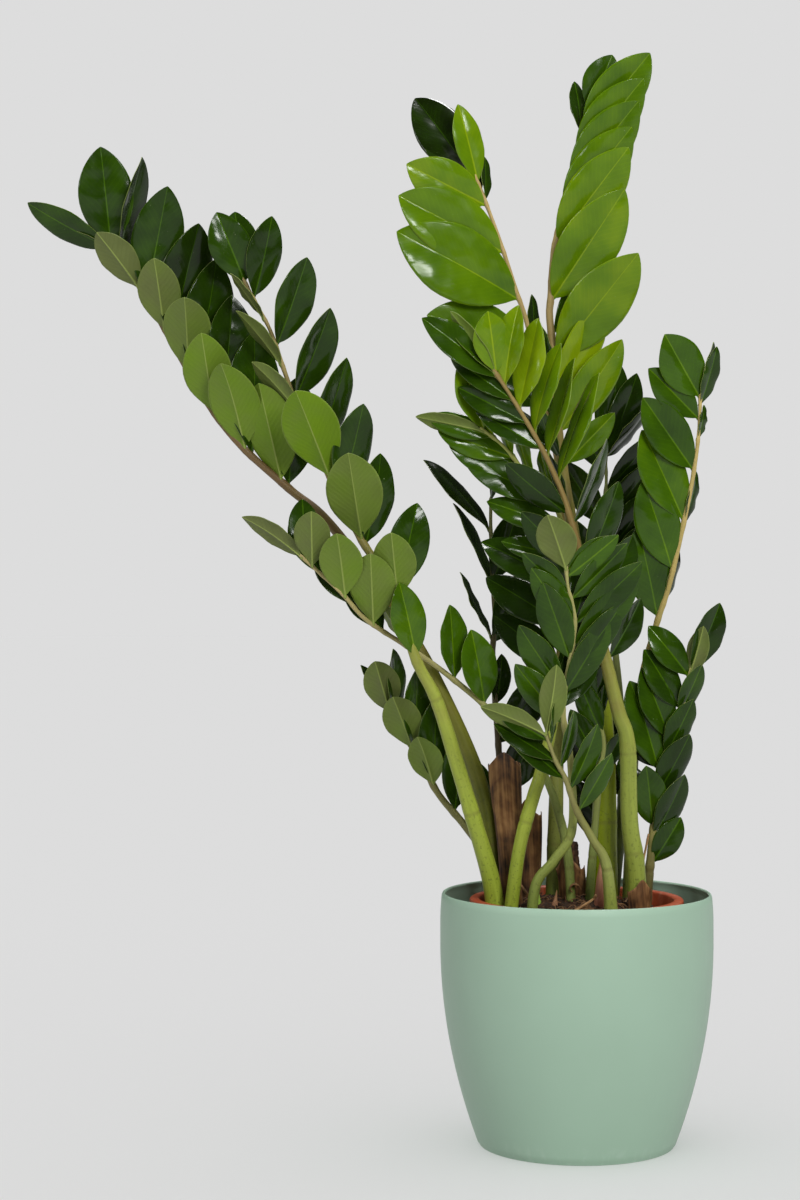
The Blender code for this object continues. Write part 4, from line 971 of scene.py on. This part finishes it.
@dataclass
class LeafletForm:
    """How leaflets are shaped, in millimetres, degrees and shares. Each draws its own from the ranges."""

    rings: int = 22
    columns: tuple[float, ...] = (0.0, 0.05, 0.16, 0.34, 0.54, 0.74, 0.9, 1.0)
    edge_thickness: float = 0.45
    rib_thickness: float = 1.5
    rib_width: float = 1.1
    foot_thickness: float = 2.1
    foot_share: float = 0.05  # the share of the blade over which its foot thins
    petiolule: float = 1.15  # radius of the short stalk at its foot
    bare: float = 1.2  # how much of it shows between the stalk and the blade
    tip: float = 0.12
    crease: float = 1.4  # how softly the two halves meet at the midrib
    groove: float = 0.25
    groove_width: float = 0.8
    fold: tuple[float, float] = (0.22, 0.5)  # how steeply the halves rise from the midrib
    pillow: tuple[float, float] = (0.18, 0.42)  # how far they round over towards the margins
    bow: tuple[float, float] = (-0.015, 0.035)
    recurve: tuple[float, float] = (0.0, 0.09)
    twist: tuple[float, float] = (-9.0, 9.0)
    ripple: tuple[float, float] = (0.2, 0.9)
    waves: tuple[float, float] = (2.0, 3.6)  # ripples along the margin
    tone_drift: float = 0.05

    def add_to(self, draft: MeshDraft, foot: Vector, axes: tuple[Vector, Vector, Vector], length: float,
               breadth: float, tone: float, stalk_radius: float, draw: random.Random) -> None:
        """Adds one leaflet as a thin closed body with an upper and a lower face.

        Args:
            draft: What it is added to.
            foot: Where it leaves the middle of the stalk, in metres.
            axes: Its midrib, side and upper directions.
            length: From the foot to the tip.
            breadth: Its width as a share of its length.
            tone: From 0, dark, to 1, bright: partly the leaflet's age and partly painted light and shade.
            stalk_radius: The stalk's radius at the foot.
            draw: Where its own numbers come from.
        """
        share = (1 - np.cos(np.linspace(0.0, math.pi, self.rings))) / 2
        clear = (stalk_radius + self.bare) / length
        blade = np.clip((share - clear) / (1 - clear), 0.0, 1.0)
        widest = length * breadth / 2
        wide = np.maximum(half_width(blade) * widest, self.petiolule * (1 - share) + self.tip)
        half = np.array(self.columns)
        column = np.concatenate([-half[::-1], half[1:]])
        across = wide[:, None] * column[None, :]
        fold, pillow, bow = draw.uniform(*self.fold), draw.uniform(*self.pillow), draw.uniform(*self.bow)
        recurve, twist = draw.uniform(*self.recurve), draw.uniform(*self.twist)
        ripple, phase = draw.uniform(*self.ripple), draw.uniform(0, math.tau)
        waves = draw.uniform(*self.waves)
        raised = fold * (np.sqrt(across**2 + self.crease) - math.sqrt(self.crease))
        raised -= pillow * across**2 / widest
        sway = np.sin(math.tau * waves * share[:, None] + phase + 1.3 * np.sign(across))
        sway *= np.abs(column) ** 2.5
        arch = 4 * bow * share * (1 - share) * length - recurve * length * share**2.6
        top = raised + ripple * sway * (wide / widest)[:, None] + arch[:, None]
        top -= self.groove * bell(across, self.groove_width) * (1 - share[:, None])
        rib = (self.rib_thickness - self.edge_thickness) * bell(across, self.rib_width)
        rib *= 1 - 0.75 * share[:, None]
        foot_taper = self.foot_thickness * (1 - blade[:, None] / self.foot_share)
        thick = np.maximum(self.edge_thickness + rib, foot_taper)
        upper = self.placed(foot, axes, share * length, across, top, twist)
        lower = self.placed(foot, axes, share * length, across, top - thick, twist)
        seed = draw.uniform(0.0, 5.0)
        flat = np.stack([np.broadcast_to((blade * length)[:, None], across.shape), across,
                         np.full(across.shape, seed / MM)], axis=2) * MM
        edge = np.broadcast_to(np.abs(column)[None, :], across.shape)
        rings, place, edge = (np.concatenate([over, under[:, ::-1]], axis=1)
                              for over, under in ((upper, lower), (flat, flat), (edge, edge)))
        # The drawn tone is partly the leaflet's age and partly painted light and shade, as the table sets it.
        own_tone_and_shade = min(max(tone + draw.uniform(-self.tone_drift, self.tone_drift), 0.0), 1.0)
        strips = len(column) - 1
        tones = np.full(edge.shape, own_tone_and_shade)
        draft.add_loft(rings, {"leaf_place": place, "leaf_edge": edge, "leaf_tone_and_shade": tones},
                       [Face.UPPER.value] * strips + [Face.UNDER.value] * (strips + 2))

    @staticmethod
    def placed(foot: Vector, axes: tuple[Vector, Vector, Vector], up: np.ndarray, across: np.ndarray,
               raised: np.ndarray, twist: float) -> np.ndarray:
        """Puts a leaflet's flat coordinates in place.

        Args:
            foot: Where it leaves the stalk, in metres.
            axes: Its midrib, side and upper directions.
            up: The distance along the midrib of each ring.
            across: The distance from the midrib of each point.
            raised: Its height above the flat leaflet.
            twist: The turn of its tip about the midrib, in degrees.

        Returns:
            The points in metres, by ring and column.
        """
        angle = np.radians(twist) * (up / up[-1])[:, None]
        side = across * np.cos(angle) - raised * np.sin(angle)
        lift = across * np.sin(angle) + raised * np.cos(angle)
        midrib, beside, upper = (np.array(axis) for axis in axes)
        along_rib = np.broadcast_to(up[:, None], across.shape)
        moved = along_rib[..., None] * midrib + side[..., None] * beside + lift[..., None] * upper
        return np.array(foot) + moved * MM


@dataclass
class FrondBuilder:
    """Builds a compound leaf as two pieces: its fleshy stalk and its foliage."""

    foliage: Sequence[Material]
    form: LeafletForm = field(default_factory=LeafletForm)
    sides: int = 18
    swelling: float = 0.07  # how much a joint is thicker than the stalk
    swelling_length: float = 9.0
    joint_groove: float = 0.35
    joint_width: float = 2.2
    joint_scar_width: float = 2.6
    collar: float = 0.35  # height of the scar under each leaflet
    collar_width: float = 3.5
    collared_under: float = 6.0  # a thicker stalk has no collars
    foot_scar: float = 0.55  # how strong that scar's colour is
    foot_scar_width: float = 2.5

    def build(self, frond: Frond) -> None:
        """Builds and settles one frond.

        Args:
            frond: What it is.
        """
        route = frond.line(ROUTE_STEPS)
        draw = random.Random(frond.name)
        feet: list[float] = []
        leaves = MeshDraft()
        for rank in frond.ranks:
            for i in range(rank.count):
                share = i / max(rank.count - 1, 1)
                step = round(along(rank.span, share) * ROUTE_STEPS)
                feet.append(step / ROUTE_STEPS)
                axes = leaflet_axes(*(along(run, share) for run in (rank.lean, rank.reach, rank.turn)))
                self.form.add_to(leaves, route[step], axes, along(rank.length, share), rank.breadth,
                                 along(rank.tone, share), along(frond.girth, feet[-1]) / 2, draw)
        settle(leaves.to_object(frond.name + "_foliage", *self.foliage), Slot.LEAF, frond.name)
        self.build_stalk(frond, route, feet)

    def build_stalk(self, frond: Frond, route: Sequence[Vector], feet: Sequence[float]) -> None:
        """Builds a frond's stalk, with its joints and a scar under each leaflet.

        Args:
            frond: What it is.
            route: Its middle line in metres.
            feet: Where its leaflets leave it, as shares of its length.
        """
        share = np.linspace(0.0, 1.0, len(route))
        millimetres = share * sum((b - a).length for a, b in zip(route, route[1:])) / MM
        radii = frond.radii(ROUTE_STEPS)
        scar = np.zeros(len(share))
        for joint in frond.joints:
            away = millimetres - joint * millimetres[-1]
            radii *= 1 + self.swelling * bell(away, self.swelling_length)
            radii -= self.joint_groove * bell(away, self.joint_width)
            scar = np.maximum(scar, bell(away, self.joint_scar_width))
        for foot in feet:
            away = millimetres - foot * millimetres[-1]
            radii += self.collar * bell(away, self.collar_width) * (radii < self.collared_under)
            scar = np.maximum(scar, self.foot_scar * bell(away, self.foot_scar_width))
        rings, place = tube_rings(route, radii, self.sides)
        spread = np.ones((1, self.sides))
        skin = FleshyStalk(f"fleshy_stalk_skin_{frond.name}", frond.skin).build()
        settle_loft(frond.name + "_stalk", skin, Slot.LEAF, rings, [frond.name], stalk_place=place,
                    stalk_rise=share[:, None] * spread, stalk_scar=scar[:, None] * spread)


@dataclass
class CoverPot:
    """The tapered cover pot: a thin wall that ends upright, a rim that leans in a little, a flat foot."""

    height: float = 230.0
    radius: float = 125.0
    foot_radius: float = 90.0
    upright_from: float = 185.0
    wall: float = 3.0
    floor: float = 4.0
    lean_in: float = 1.6  # how far the top of the wall leans in
    lean_from: float = 204.0
    foot_round: float = 3.0
    rim_round: float = 2.2
    sides: int = 160
    finish: MouldedPolypropylene = MouldedPolypropylene(
        "polypropylene_moulded_satin_sage", colour="#9AB6A1", drift="#94AF9A", worn="#B0C4B5", worn_from=2.0,
        worn_to=24.0, wear=0.35, roughness=0.46)

    def wall_radius(self, height: float) -> float:
        """The outer radius at a height in millimetres."""
        short = max(0.0, 1 - height / self.upright_from)
        over = max(0.0, (height - self.lean_from) / (self.height - self.lean_from))
        return self.radius - (self.radius - self.foot_radius) * short**2 - self.lean_in * over**2

    def build(self) -> None:
        """Builds and settles the pot."""
        shoulder = self.height - self.rim_round
        heights = [self.foot_round, *np.linspace(8, shoulder, 46)]
        outer = [(self.wall_radius(z), z) for z in heights]
        inner = [(self.wall_radius(z) - self.wall, z) for z in reversed(heights[1:])]
        rim = self.wall_radius(self.height) - self.wall / 2
        lip = [(rim + self.wall / 2 * math.cos(a), shoulder + self.rim_round * math.sin(a))
               for a in np.linspace(0.15, math.pi - 0.15, 9)]
        foot = [(self.wall_radius(0) - self.foot_round * (1 - math.sin(a)) * 0.5,
                 self.foot_round * (1 - math.cos(a))) for a in np.linspace(0.0, math.pi / 2, 6)[:-1]]
        corner = self.foot_radius - self.wall
        well = [(corner - 1.0, self.floor + 1.5), (corner - 3.0, self.floor), (AXIS, self.floor)]
        rings = circle_rings([(AXIS, 0.0), (60.0, 0.0), *foot, *outer, *lip, *inner, *well], self.sides)
        settle_loft("cover_pot_shell", self.finish.build(), Slot.COVER_POT, rings, ["cover_pot"])


@dataclass
class GrowingPot:
    """The growing pot: a thin tapered tub with a rolled lip and a ring of drain holes."""

    top: float = 225.0
    base: float = 4.3
    base_radius: float = 68.0
    top_radius: float = 90.5
    wall: float = 1.8
    floor: float = 2.5
    lip_radius: float = 98.0
    lip_drop: float = 11.0
    lip_round: float = 2.2
    drain_holes: int = 8
    drain_radius: float = 5.0
    drain_circle: float = 46.0
    sides: int = 128
    finish: MouldedPolypropylene = MouldedPolypropylene(
        "polypropylene_moulded_matt_terracotta", colour="#B4532F", drift="#A34524", worn="#C08468",
        worn_from=226.0, worn_to=190.0, wear=0.5, roughness=0.52, etch=1.2)

    def wall_radius(self, height: float) -> float:
        """The outer radius under the lip, at a height in millimetres."""
        share = (height - self.base) / (self.top - self.base)
        return self.base_radius + (self.top_radius - self.base_radius) * share

    def rolled(self, radius: float, start: float, end: float) -> list[tuple[float, float]]:
        """The lip's rounding about this radius, between two angles."""
        return [(radius + self.lip_round * math.cos(a), self.top - self.lip_round * (1 - math.sin(a)))
                for a in np.linspace(start, end, 5)]

    def build(self) -> None:
        """Builds the tub, cuts its drain holes and settles it."""
        floor_top = self.base + self.floor
        lip_foot = self.top - self.lip_drop
        outer = [(self.wall_radius(z), z) for z in np.linspace(lip_foot, self.base, 14)]
        inside = [(self.wall_radius(z) - self.wall, z) for z in np.linspace(floor_top, self.top - 4, 14)]
        profile = [(AXIS, floor_top), *inside,
                   *self.rolled(self.top_radius - self.wall + self.lip_round, math.pi, math.pi / 2),
                   *self.rolled(self.lip_radius - self.lip_round, math.pi / 2, 0.0),
                   (self.lip_radius, lip_foot + 1), (self.lip_radius - 1, lip_foot),
                   (self.wall_radius(lip_foot) + 0.6, lip_foot), *outer[1:], (AXIS, self.base)]
        draft = MeshDraft()
        draft.add_loft(circle_rings(profile, self.sides))
        pot = draft.to_object("growing_pot_tub", self.finish.build())
        self.drain(pot)
        settle(pot, Slot.GROWING_POT, "growing_pot")

    def drain(self, pot: Object) -> None:
        """Cuts the drain holes.

        Args:
            pot: The tub.
        """
        shape = bmesh.new()
        for angle in ring_angles(self.drain_holes):
            middle = Vector((self.drain_circle * math.cos(angle), self.drain_circle * math.sin(angle),
                             self.base + self.floor / 2)) * MM
            bmesh.ops.create_cone(shape, cap_ends=True, segments=24, radius1=self.drain_radius * MM,
                                  radius2=self.drain_radius * MM, depth=3 * self.floor * MM,
                                  matrix=Matrix.Translation(middle))
        mesh = bpy.data.meshes.new("drain_cutters")
        shape.to_mesh(mesh)
        shape.free()
        cutters = linked("drain_cutters", mesh)
        cut = pot.modifiers.new("drain", "BOOLEAN")
        cut.operation = "DIFFERENCE"
        cut.object = cutters
        cut.solver = "EXACT"
        bpy.context.view_layer.update()
        drained = bpy.data.meshes.new_from_object(pot.evaluated_get(bpy.context.evaluated_depsgraph_get()))
        pot.modifiers.clear()
        pot.data = drained
        bpy.data.objects.remove(cutters, do_unlink=True)


@dataclass
class PottingMix:
    """The peat: a low uneven mound, with loose crumbs and fibres lying on it."""

    pot: GrowingPot
    crown: float = 226.0
    edge: float = 206.0
    gap: float = 0.3
    lumps: int = 260
    crumbs: int = 900
    crumb_sides: int = 7
    crumb_profile: tuple[tuple[float, float], ...] = ((-1.0, 0.35), (-0.55, 0.9), (0.1, 1.0), (0.65, 0.75),
                                                      (0.95, 0.3))
    fibres: int = 150
    fibre_steps: int = 12
    tufts: tuple[tuple[float, float, int], ...] = ((4.0, -60.0, 70), (52.0, -42.0, 36), (-52.0, -30.0, 30))
    sides: int = 120
    peat: DampPeat = DampPeat("peat_milled_damp")
    fibre: DriedTissue = DriedTissue("root_fibre_dried", dark="#4A3020", middle="#8A6642", pale="#B99A6C",
                                     fibre=1.2)

    def surface(self, x: float, y: float) -> float:
        """The mound's height at a place, in millimetres."""
        share = min(1.0, math.hypot(x, y) / self.edge_radius)
        return self.crown - (self.crown - self.edge) * share**2

    @property
    def edge_radius(self) -> float:
        """The mound's radius where it meets the pot."""
        return self.pot.wall_radius(self.edge) - self.pot.wall - self.gap

    def build(self) -> None:
        """Builds and settles the mound, its crumbs and its fibres."""
        draw = random.Random("peat")
        self.build_mound(draw)
        self.build_fibres(draw)

    def build_mound(self, draw: random.Random) -> None:
        """Builds the mound and the crumbs as one piece.

        Args:
            draw: Where the unevenness comes from.
        """
        base = self.pot.base + self.pot.floor + self.gap
        foot = self.pot.wall_radius(base) - self.pot.wall - self.gap
        radii = np.linspace(self.edge_radius, 0.6, 52)
        mound = [(radius, self.surface(radius, 0)) for radius in radii]
        rings = circle_rings([(AXIS, base), (foot, base), *mound], self.sides)
        top = rings[2:]
        x, y = top[..., 0] / MM, top[..., 1] / MM
        rise = np.zeros(x.shape)
        for _ in range(self.lumps):
            middle_x, middle_y = draw.uniform(-80, 80), draw.uniform(-80, 80)
            size, height = draw.uniform(3, 9), draw.uniform(-1.6, 2.4)
            rise += height * bell(np.hypot(x - middle_x, y - middle_y), size)
        top[..., 2] += rise * np.clip((self.edge_radius - np.hypot(x, y)) / 5, 0.0, 1.0) * MM
        draft = MeshDraft()
        draft.add_loft(rings)
        for _ in range(self.crumbs):
            self.add_crumb(draft, draw)
        settle(draft.to_object("peat_mound", self.peat.build()), Slot.MIX, "potting_mix")

    def add_crumb(self, draft: MeshDraft, draw: random.Random) -> None:
        """Adds one lump of peat, lying on the mound.

        Args:
            draft: What it is added to.
            draw: Where its numbers come from.
        """
        reach = (self.edge_radius - 3) * math.sqrt(draw.random())
        angle = draw.uniform(0, math.tau)
        x, y = reach * math.cos(angle), reach * math.sin(angle)
        size = draw.uniform(0.7, 2.0) if draw.random() < 0.85 else draw.uniform(2.0, 3.6)
        turn = ring_angles(self.crumb_sides)
        rings = []
        for lift, wide in self.crumb_profile:
            rough = np.array([draw.uniform(0.75, 1.2) for _ in turn]) * wide * size
            level = np.full(self.crumb_sides, lift * size * 0.8)
            rings.append(np.stack([rough * np.cos(turn), rough * np.sin(turn), level], 1))
        tipped = np.array(Matrix.Rotation(draw.uniform(0, 3), 3, Vector((draw.random(), draw.random(), 0.3))))
        middle = np.array((x, y, self.surface(x, y) + size * 0.3))
        draft.add_loft((np.array(rings) @ tipped.T + middle) * MM)

    def build_fibres(self, draw: random.Random) -> None:
        """Builds the dry roots and fibres, some scattered and some in tufts.

        Args:
            draw: Where their numbers come from.
        """
        draft = MeshDraft()
        places = []
        for _ in range(self.fibres):
            reach, angle = 80 * math.sqrt(draw.random()), draw.uniform(0, math.tau)
            places.append((reach * math.cos(angle), reach * math.sin(angle), draw.uniform(8, 26)))
        for x, y, count in self.tufts:
            places += [(x + draw.gauss(0, 7), y + draw.gauss(0, 6), draw.uniform(7, 20))
                       for _ in range(count)]
        for x, y, length in places:
            self.add_fibre(draft, x, y, length, draw)
        settle(draft.to_object("peat_fibres", self.fibre.build()), Slot.MIX)

    def add_fibre(self, draft: MeshDraft, x: float, y: float, length: float, draw: random.Random) -> None:
        """Adds one curled fibre, lying on the mound.

        Args:
            draft: What it is added to.
            x: Where it starts.
            y: Where it starts.
            length: How long it is.
            draw: Where its bends come from.
        """
        heading, bend = draw.uniform(0, math.tau), draw.uniform(-0.35, 0.35)
        hump, lifted = draw.uniform(0.5, 5.0), draw.uniform(0.2, 2.2)
        route = []
        for arch in np.sin(np.linspace(0.0, math.pi, self.fibre_steps)):
            heading += bend + draw.uniform(-0.25, 0.25)
            x += length / self.fibre_steps * math.cos(heading)
            y += length / self.fibre_steps * math.sin(heading)
            pull = min(1.0, (self.edge_radius - 2) / max(math.hypot(x, y), 1.0))
            height = self.surface(x * pull, y * pull) + lifted + hump * arch
            route.append(Vector((x * pull, y * pull, height)) * MM)
        thick = draw.uniform(0.18, 0.5) * np.linspace(1.0, 0.5, self.fibre_steps)
        rings, place = tube_rings(route, thick, 5)
        draft.add_loft(rings, {"stalk_place": place})


@dataclass
class ShootGroup:
    """The young shoots: pointed, still wrapped in the scales they pushed up in."""

    sides: int = 20
    steps: int = 60
    scales: tuple[float, ...] = (0.18, 0.42, 0.66)
    scale_thickness: float = 0.35
    scale_edge: float = 0.014
    slimming: float = 0.5  # how much thinner than the CAD's the shoot is under its scales
    pink: FleshyStalk = FleshyStalk("young_shoot_skin_pink_brown",
                                    StalkSkin("#6E3E2C", "#95604C", "#A87A5E", "#8A6A44"), speckle="#4E2A20",
                                    streak=1.6)
    green: FleshyStalk = FleshyStalk("young_shoot_skin_green",
                                     StalkSkin("#5E7A2A", "#6E9430", "#86A83C", "#93A848"), streak=1.6)

    def build(self) -> None:
        """Builds and settles each shoot."""
        for shoot in SHOOTS:
            self.build_shoot(shoot, self.pink, Slot.SHOOT)
        self.build_shoot(GREEN_SHOOT, self.green, Slot.LEAF)

    def build_shoot(self, shoot: Stem, finish: FleshyStalk, slot: Slot) -> None:
        """Builds one shoot.

        Args:
            shoot: What it is.
            finish: Its finish.
            slot: The record's slot for it.
        """
        share = np.linspace(0.0, 1.0, self.steps + 1)[:, None] * np.ones((1, self.sides))
        radii = shoot.radii(self.steps)[:, None] - self.slimming
        scar = np.zeros(share.shape)
        for i, scale in enumerate(self.scales):
            above = share - scale - 0.05 * np.cos(ring_angles(self.sides) + 2.3 * i)
            radii = radii + self.scale_thickness / (1 + np.exp(above * 160))
            scar = np.maximum(scar, bell(above, self.scale_edge) * 0.8)
        rings, place = tube_rings(shoot.line(self.steps), np.maximum(radii, 0.3), self.sides)
        settle_loft(shoot.name + "_spear", finish.build(), slot, rings, [shoot.name], stalk_place=place,
                    stalk_rise=share, stalk_scar=scar)


@dataclass
class DryRemains:
    """What has died back: a stump, papery sheaths round some feet, and thin dry stalks."""

    sides: int = 28
    thickness: float = 0.55  # of the paper
    knobs: int = 26
    broken_rings: int = 8
    dents: int = 14
    curl_steps: int = 40
    curl_middle: Point = (-4.0, -24.0, 236.0)
    nodes_on_stalk: int = 9
    paper: DriedTissue = DriedTissue("leaf_sheath_dried_papery", dark="#2A190C", middle="#6E4C2C",
                                     pale="#9A7448", fibre=3.2)
    bark: DriedTissue = DriedTissue("stump_dried_ridged", dark="#120B07", middle="#2E1C11", pale="#6A4A2E",
                                    fibre=2.2, relief=0.9)
    straw: DriedTissue = DriedTissue("stalk_dried_wiry", dark="#5A3F26", middle="#8E6C45", pale="#B8976A",
                                     fibre=0.9)

    def build(self) -> None:
        """Builds and settles the remains."""
        paper, straw = self.paper.build(), self.straw.build()
        self.build_stump(self.bark.build())
        for sheath in SHEATHS:
            self.build_sheath(sheath, paper)
        self.build_curl(paper)
        for stalk in DRY_STALKS:
            self.build_stalk(stalk, straw)

    def build_stump(self, material: Material) -> None:
        """Builds the stump, ringed and broken off unevenly.

        Args:
            material: Its material.
        """
        draw = random.Random(STUMP.name)
        steps = 80
        share = np.linspace(0.0, 1.0, steps + 1)[:, None]
        angle = ring_angles(self.sides)
        radii = STUMP.radii(steps)[:, None] * np.ones((1, self.sides))
        for _ in range(self.knobs):
            spot, way = draw.random(), draw.uniform(0, math.tau)
            near = bell(share - spot, 0.06) * np.exp(2 * (np.cos(angle - way)[None] - 1))
            radii += draw.uniform(-0.9, 0.9) * near
        radii -= 0.5 * (np.sin(share * 70) > 0.82)
        rings, place = tube_rings(STUMP.line(steps), radii, self.sides)
        broken = np.array([draw.uniform(-4.5, 1.0) for _ in range(self.sides)])
        rings[-self.broken_rings:, :, 2] += np.outer(np.linspace(0, 1, self.broken_rings), broken) * MM
        settle_loft("dried_stump_core", material, Slot.SHEATH, rings, [STUMP.name], stalk_place=place)

    def build_sheath(self, sheath: Sheath, material: Material) -> None:
        """Builds one sheath as a thin curled sheet.

        Args:
            sheath: What it is.
            material: Its material.
        """
        draw = random.Random(sheath.name)
        across, up = np.meshgrid(np.linspace(-0.5, 0.5, 44), np.linspace(0.0, 1.0, 48))
        angle = np.radians(sheath.facing + sheath.wrap * across)
        crumple = 0.8 * np.sin(9 * across + 5 * up)
        for _ in range(self.dents):
            spot, height, size = draw.uniform(-0.5, 0.5), draw.random(), draw.uniform(0.08, 0.22)
            crumple += draw.uniform(-2.4, 2.0) * bell(np.hypot(across - spot, (up - height) / 2), size)
        radius = np.interp(up, (0, 1), sheath.radius) + crumple
        torn = sheath.tear * (np.cos(2.4 * across * math.pi + 0.4) + 0.3 * np.cos(13 * across + 1)) * up**3
        foot, top = np.array(sheath.foot), np.array(sheath.top)
        level = np.zeros(angle.shape)
        way = np.stack([np.cos(angle), np.sin(angle), level], axis=2)
        rise = np.stack([level, level, torn * 0.8], axis=2)
        outside = foot + (top - foot) * up[..., None] + way * radius[..., None] + rise
        inside = outside - way * self.thickness
        flat = np.stack([radius * np.cos(angle), radius * np.sin(angle), up * (top - foot)[2]], axis=2)
        rings, place = (np.concatenate([over, under[:, ::-1]], axis=1) * MM
                        for over, under in ((outside, inside), (flat, flat)))
        settle_loft(sheath.name + "_paper", material, Slot.SHEATH, rings, [sheath.name], stalk_place=place)

    def build_curl(self, material: Material) -> None:
        """Builds the curl of dry sheath that has fallen in front of the stump.

        Args:
            material: Its material.
        """
        rings = []
        for share in np.linspace(0.0, 1.0, self.curl_steps):
            turn, reach = 4.1 * share, 6.2 - 3.2 * share
            out = np.array([math.cos(turn), 0.0, math.sin(turn)])
            wide = 6.5 - 2.0 * abs(share - 0.4)
            sideways = np.outer(np.linspace(-wide, wide, 9), (0.0, 1.0, 0.0))
            sheet = np.array(self.curl_middle) + out * reach + sideways
            rings.append(np.concatenate([sheet, (sheet - out * self.thickness)[::-1]]) * MM)
        settle_loft("sheath_curl", material, Slot.SHEATH, np.array(rings), stalk_place=np.array(rings))

    def build_stalk(self, stalk: Stem, material: Material) -> None:
        """Builds one dry stalk.

        Args:
            stalk: What it is.
            material: Its material.
        """
        draw = random.Random(stalk.name)
        steps = 70
        share = np.linspace(0.0, 1.0, steps + 1)
        radii = stalk.radii(steps)
        for _ in range(self.nodes_on_stalk):
            radii += draw.uniform(-0.2, 0.35) * bell(share - draw.random(), 0.04)
        rings, place = tube_rings(stalk.line(steps), radii, 12)
        settle_loft(stalk.name + "_wisp", material, Slot.DRY_STALK, rings, [stalk.name], stalk_place=place)


@dataclass(frozen=True)
class Softbox:
    """A square lamp, hung at a place in metres and aimed at the plant."""

    name: str
    place: Point
    size: float
    power: float
    without: str = ""  # the kind of ray that it doesn't light


@dataclass
class Studio:
    """A pale floor that runs out of sight, an even room, soft lamps and the camera."""

    floor_radius: float = 30_000.0
    floor_drop: float = 0.2  # keeps the floor's face from touching the pot's foot
    floor_depth: float = 8.0
    floor_colour: str = "#EDEDED"
    room: float = 0.2  # how bright the room is
    mirrored: float = 0.04  # how bright the room is in a gloss: beyond the lamps it is dark
    floor_light: float = 2.05  # what the floor needs besides, to come out as pale as the backdrop
    backdrop: str = "#DDDDDD"
    camera_at: Point = (-0.162, -2.15, 0.4985)
    lens: float = 70.2
    lamps_aim: Point = (-0.08, 0.0, 0.5)
    lamps: tuple[Softbox, ...] = (
        Softbox("key_softbox", (0.8, -2.25, 1.45), 0.9, 47.0, "visible_glossy"),
        Softbox("top_softbox", (-0.1, 0.1, 2.3), 2.4, 48.0, "visible_glossy"),
        Softbox("left_softbox", (-1.9, -1.2, 1.45), 0.6, 8.0),
        Softbox("front_glint", (0.5, -2.3, 1.7), 0.45, 19.0, "visible_diffuse"),
        Softbox("top_glint", (0.3, 0.4, 2.4), 0.5, 36.0, "visible_diffuse"),
    )

    def build(self) -> None:
        """Builds the floor, the room's light, the lamps and the camera."""
        self.build_floor()
        self.build_room()
        self.build_lamps()
        self.build_camera()

    def build_floor(self) -> None:
        """Lays the floor and lights it alone, without shadows."""
        paper = bpy.data.materials.new("studio_paper_matt")
        paper.use_nodes = True
        fill(paper.node_tree.nodes["Principled BSDF"],
             {"Base Color": linear(self.floor_colour), "Roughness": 1.0, "Specular IOR Level": 0.0})
        profile = ((AXIS, -self.floor_depth), (self.floor_radius, -self.floor_depth),
                   (self.floor_radius, -self.floor_drop), (AXIS, -self.floor_drop))
        draft = MeshDraft()
        draft.add_loft(circle_rings(profile, 96))
        floor = draft.to_object("studio_floor", paper)
        floor.data.shade_flat()
        floor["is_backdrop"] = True
        lamp = bpy.data.lights.new("floor_lamp", "SUN")
        lamp.angle = math.radians(150)
        lamp.energy = self.floor_light
        lamp.use_shadow = False
        linked("floor_lamp", lamp).light_linking.receiver_collection = collected("lit_by_floor_lamp", [floor])

    def build_room(self) -> None:
        """Lights the scene evenly from all round, and shows the backdrop's colour behind it."""
        world = bpy.data.worlds.new("studio_room")
        bpy.context.scene.world = world
        world.use_nodes = True
        tree = world.node_tree
        tree.nodes.clear()
        path = add_node(tree, "LightPath")
        power = add_node(tree, "MapRange", {0: path.outputs["Is Glossy Ray"], 3: self.room, 4: self.mirrored})
        light = add_node(tree, "Background", {"Color": (1.0, 1.0, 1.0, 1.0), "Strength": power})
        shown = add_node(tree, "Background", {"Color": linear(self.backdrop), "Strength": 1.0})
        mixed = add_node(tree, "MixShader", {0: path.outputs["Is Camera Ray"], 1: light, 2: shown})
        add_node(tree, "OutputWorld", {0: mixed})

    def build_lamps(self) -> None:
        """Hangs the soft lamps, which light the plant and not the floor."""
        lit = collected("lit_by_lamps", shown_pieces())
        for softbox in self.lamps:
            lamp = bpy.data.lights.new(softbox.name, "AREA")
            lamp.shape = "SQUARE"
            lamp.size = softbox.size
            lamp.energy = softbox.power
            stand = linked(softbox.name, lamp)
            stand.location = softbox.place
            if softbox.without:
                setattr(stand, softbox.without, False)
            towards = Vector(self.lamps_aim) - stand.location
            stand.rotation_euler = towards.to_track_quat("-Z", "Y").to_euler()
            stand.light_linking.receiver_collection = lit

    def build_camera(self) -> None:
        """Sets up the camera, level and square to the front."""
        lens = bpy.data.cameras.new("front_camera")
        lens.lens = self.lens
        lens.sensor_width = 36.0
        camera = linked("front_camera", lens)
        camera.location = self.camera_at
        camera.rotation_euler = (math.radians(90), 0.0, 0.0)
        bpy.context.scene.camera = camera


def main() -> None:
    """Builds the looks of every piece, the studio and the camera."""
    logging.basicConfig(level=logging.INFO, format="%(name)s: %(message)s")
    bpy.context.scene.view_settings.view_transform = "Standard"
    CoverPot().build()
    tub = GrowingPot()
    tub.build()
    PottingMix(tub).build()
    builder = FrondBuilder([LeafCuticle("leaflet_cuticle_waxed").build(),
                            LeafUnderside("leaflet_underside_matt").build()])
    for frond in FRONDS:
        builder.build(frond)
    ShootGroup().build()
    DryRemains().build()
    Studio().build()


if __name__ == "__main__":
    main()
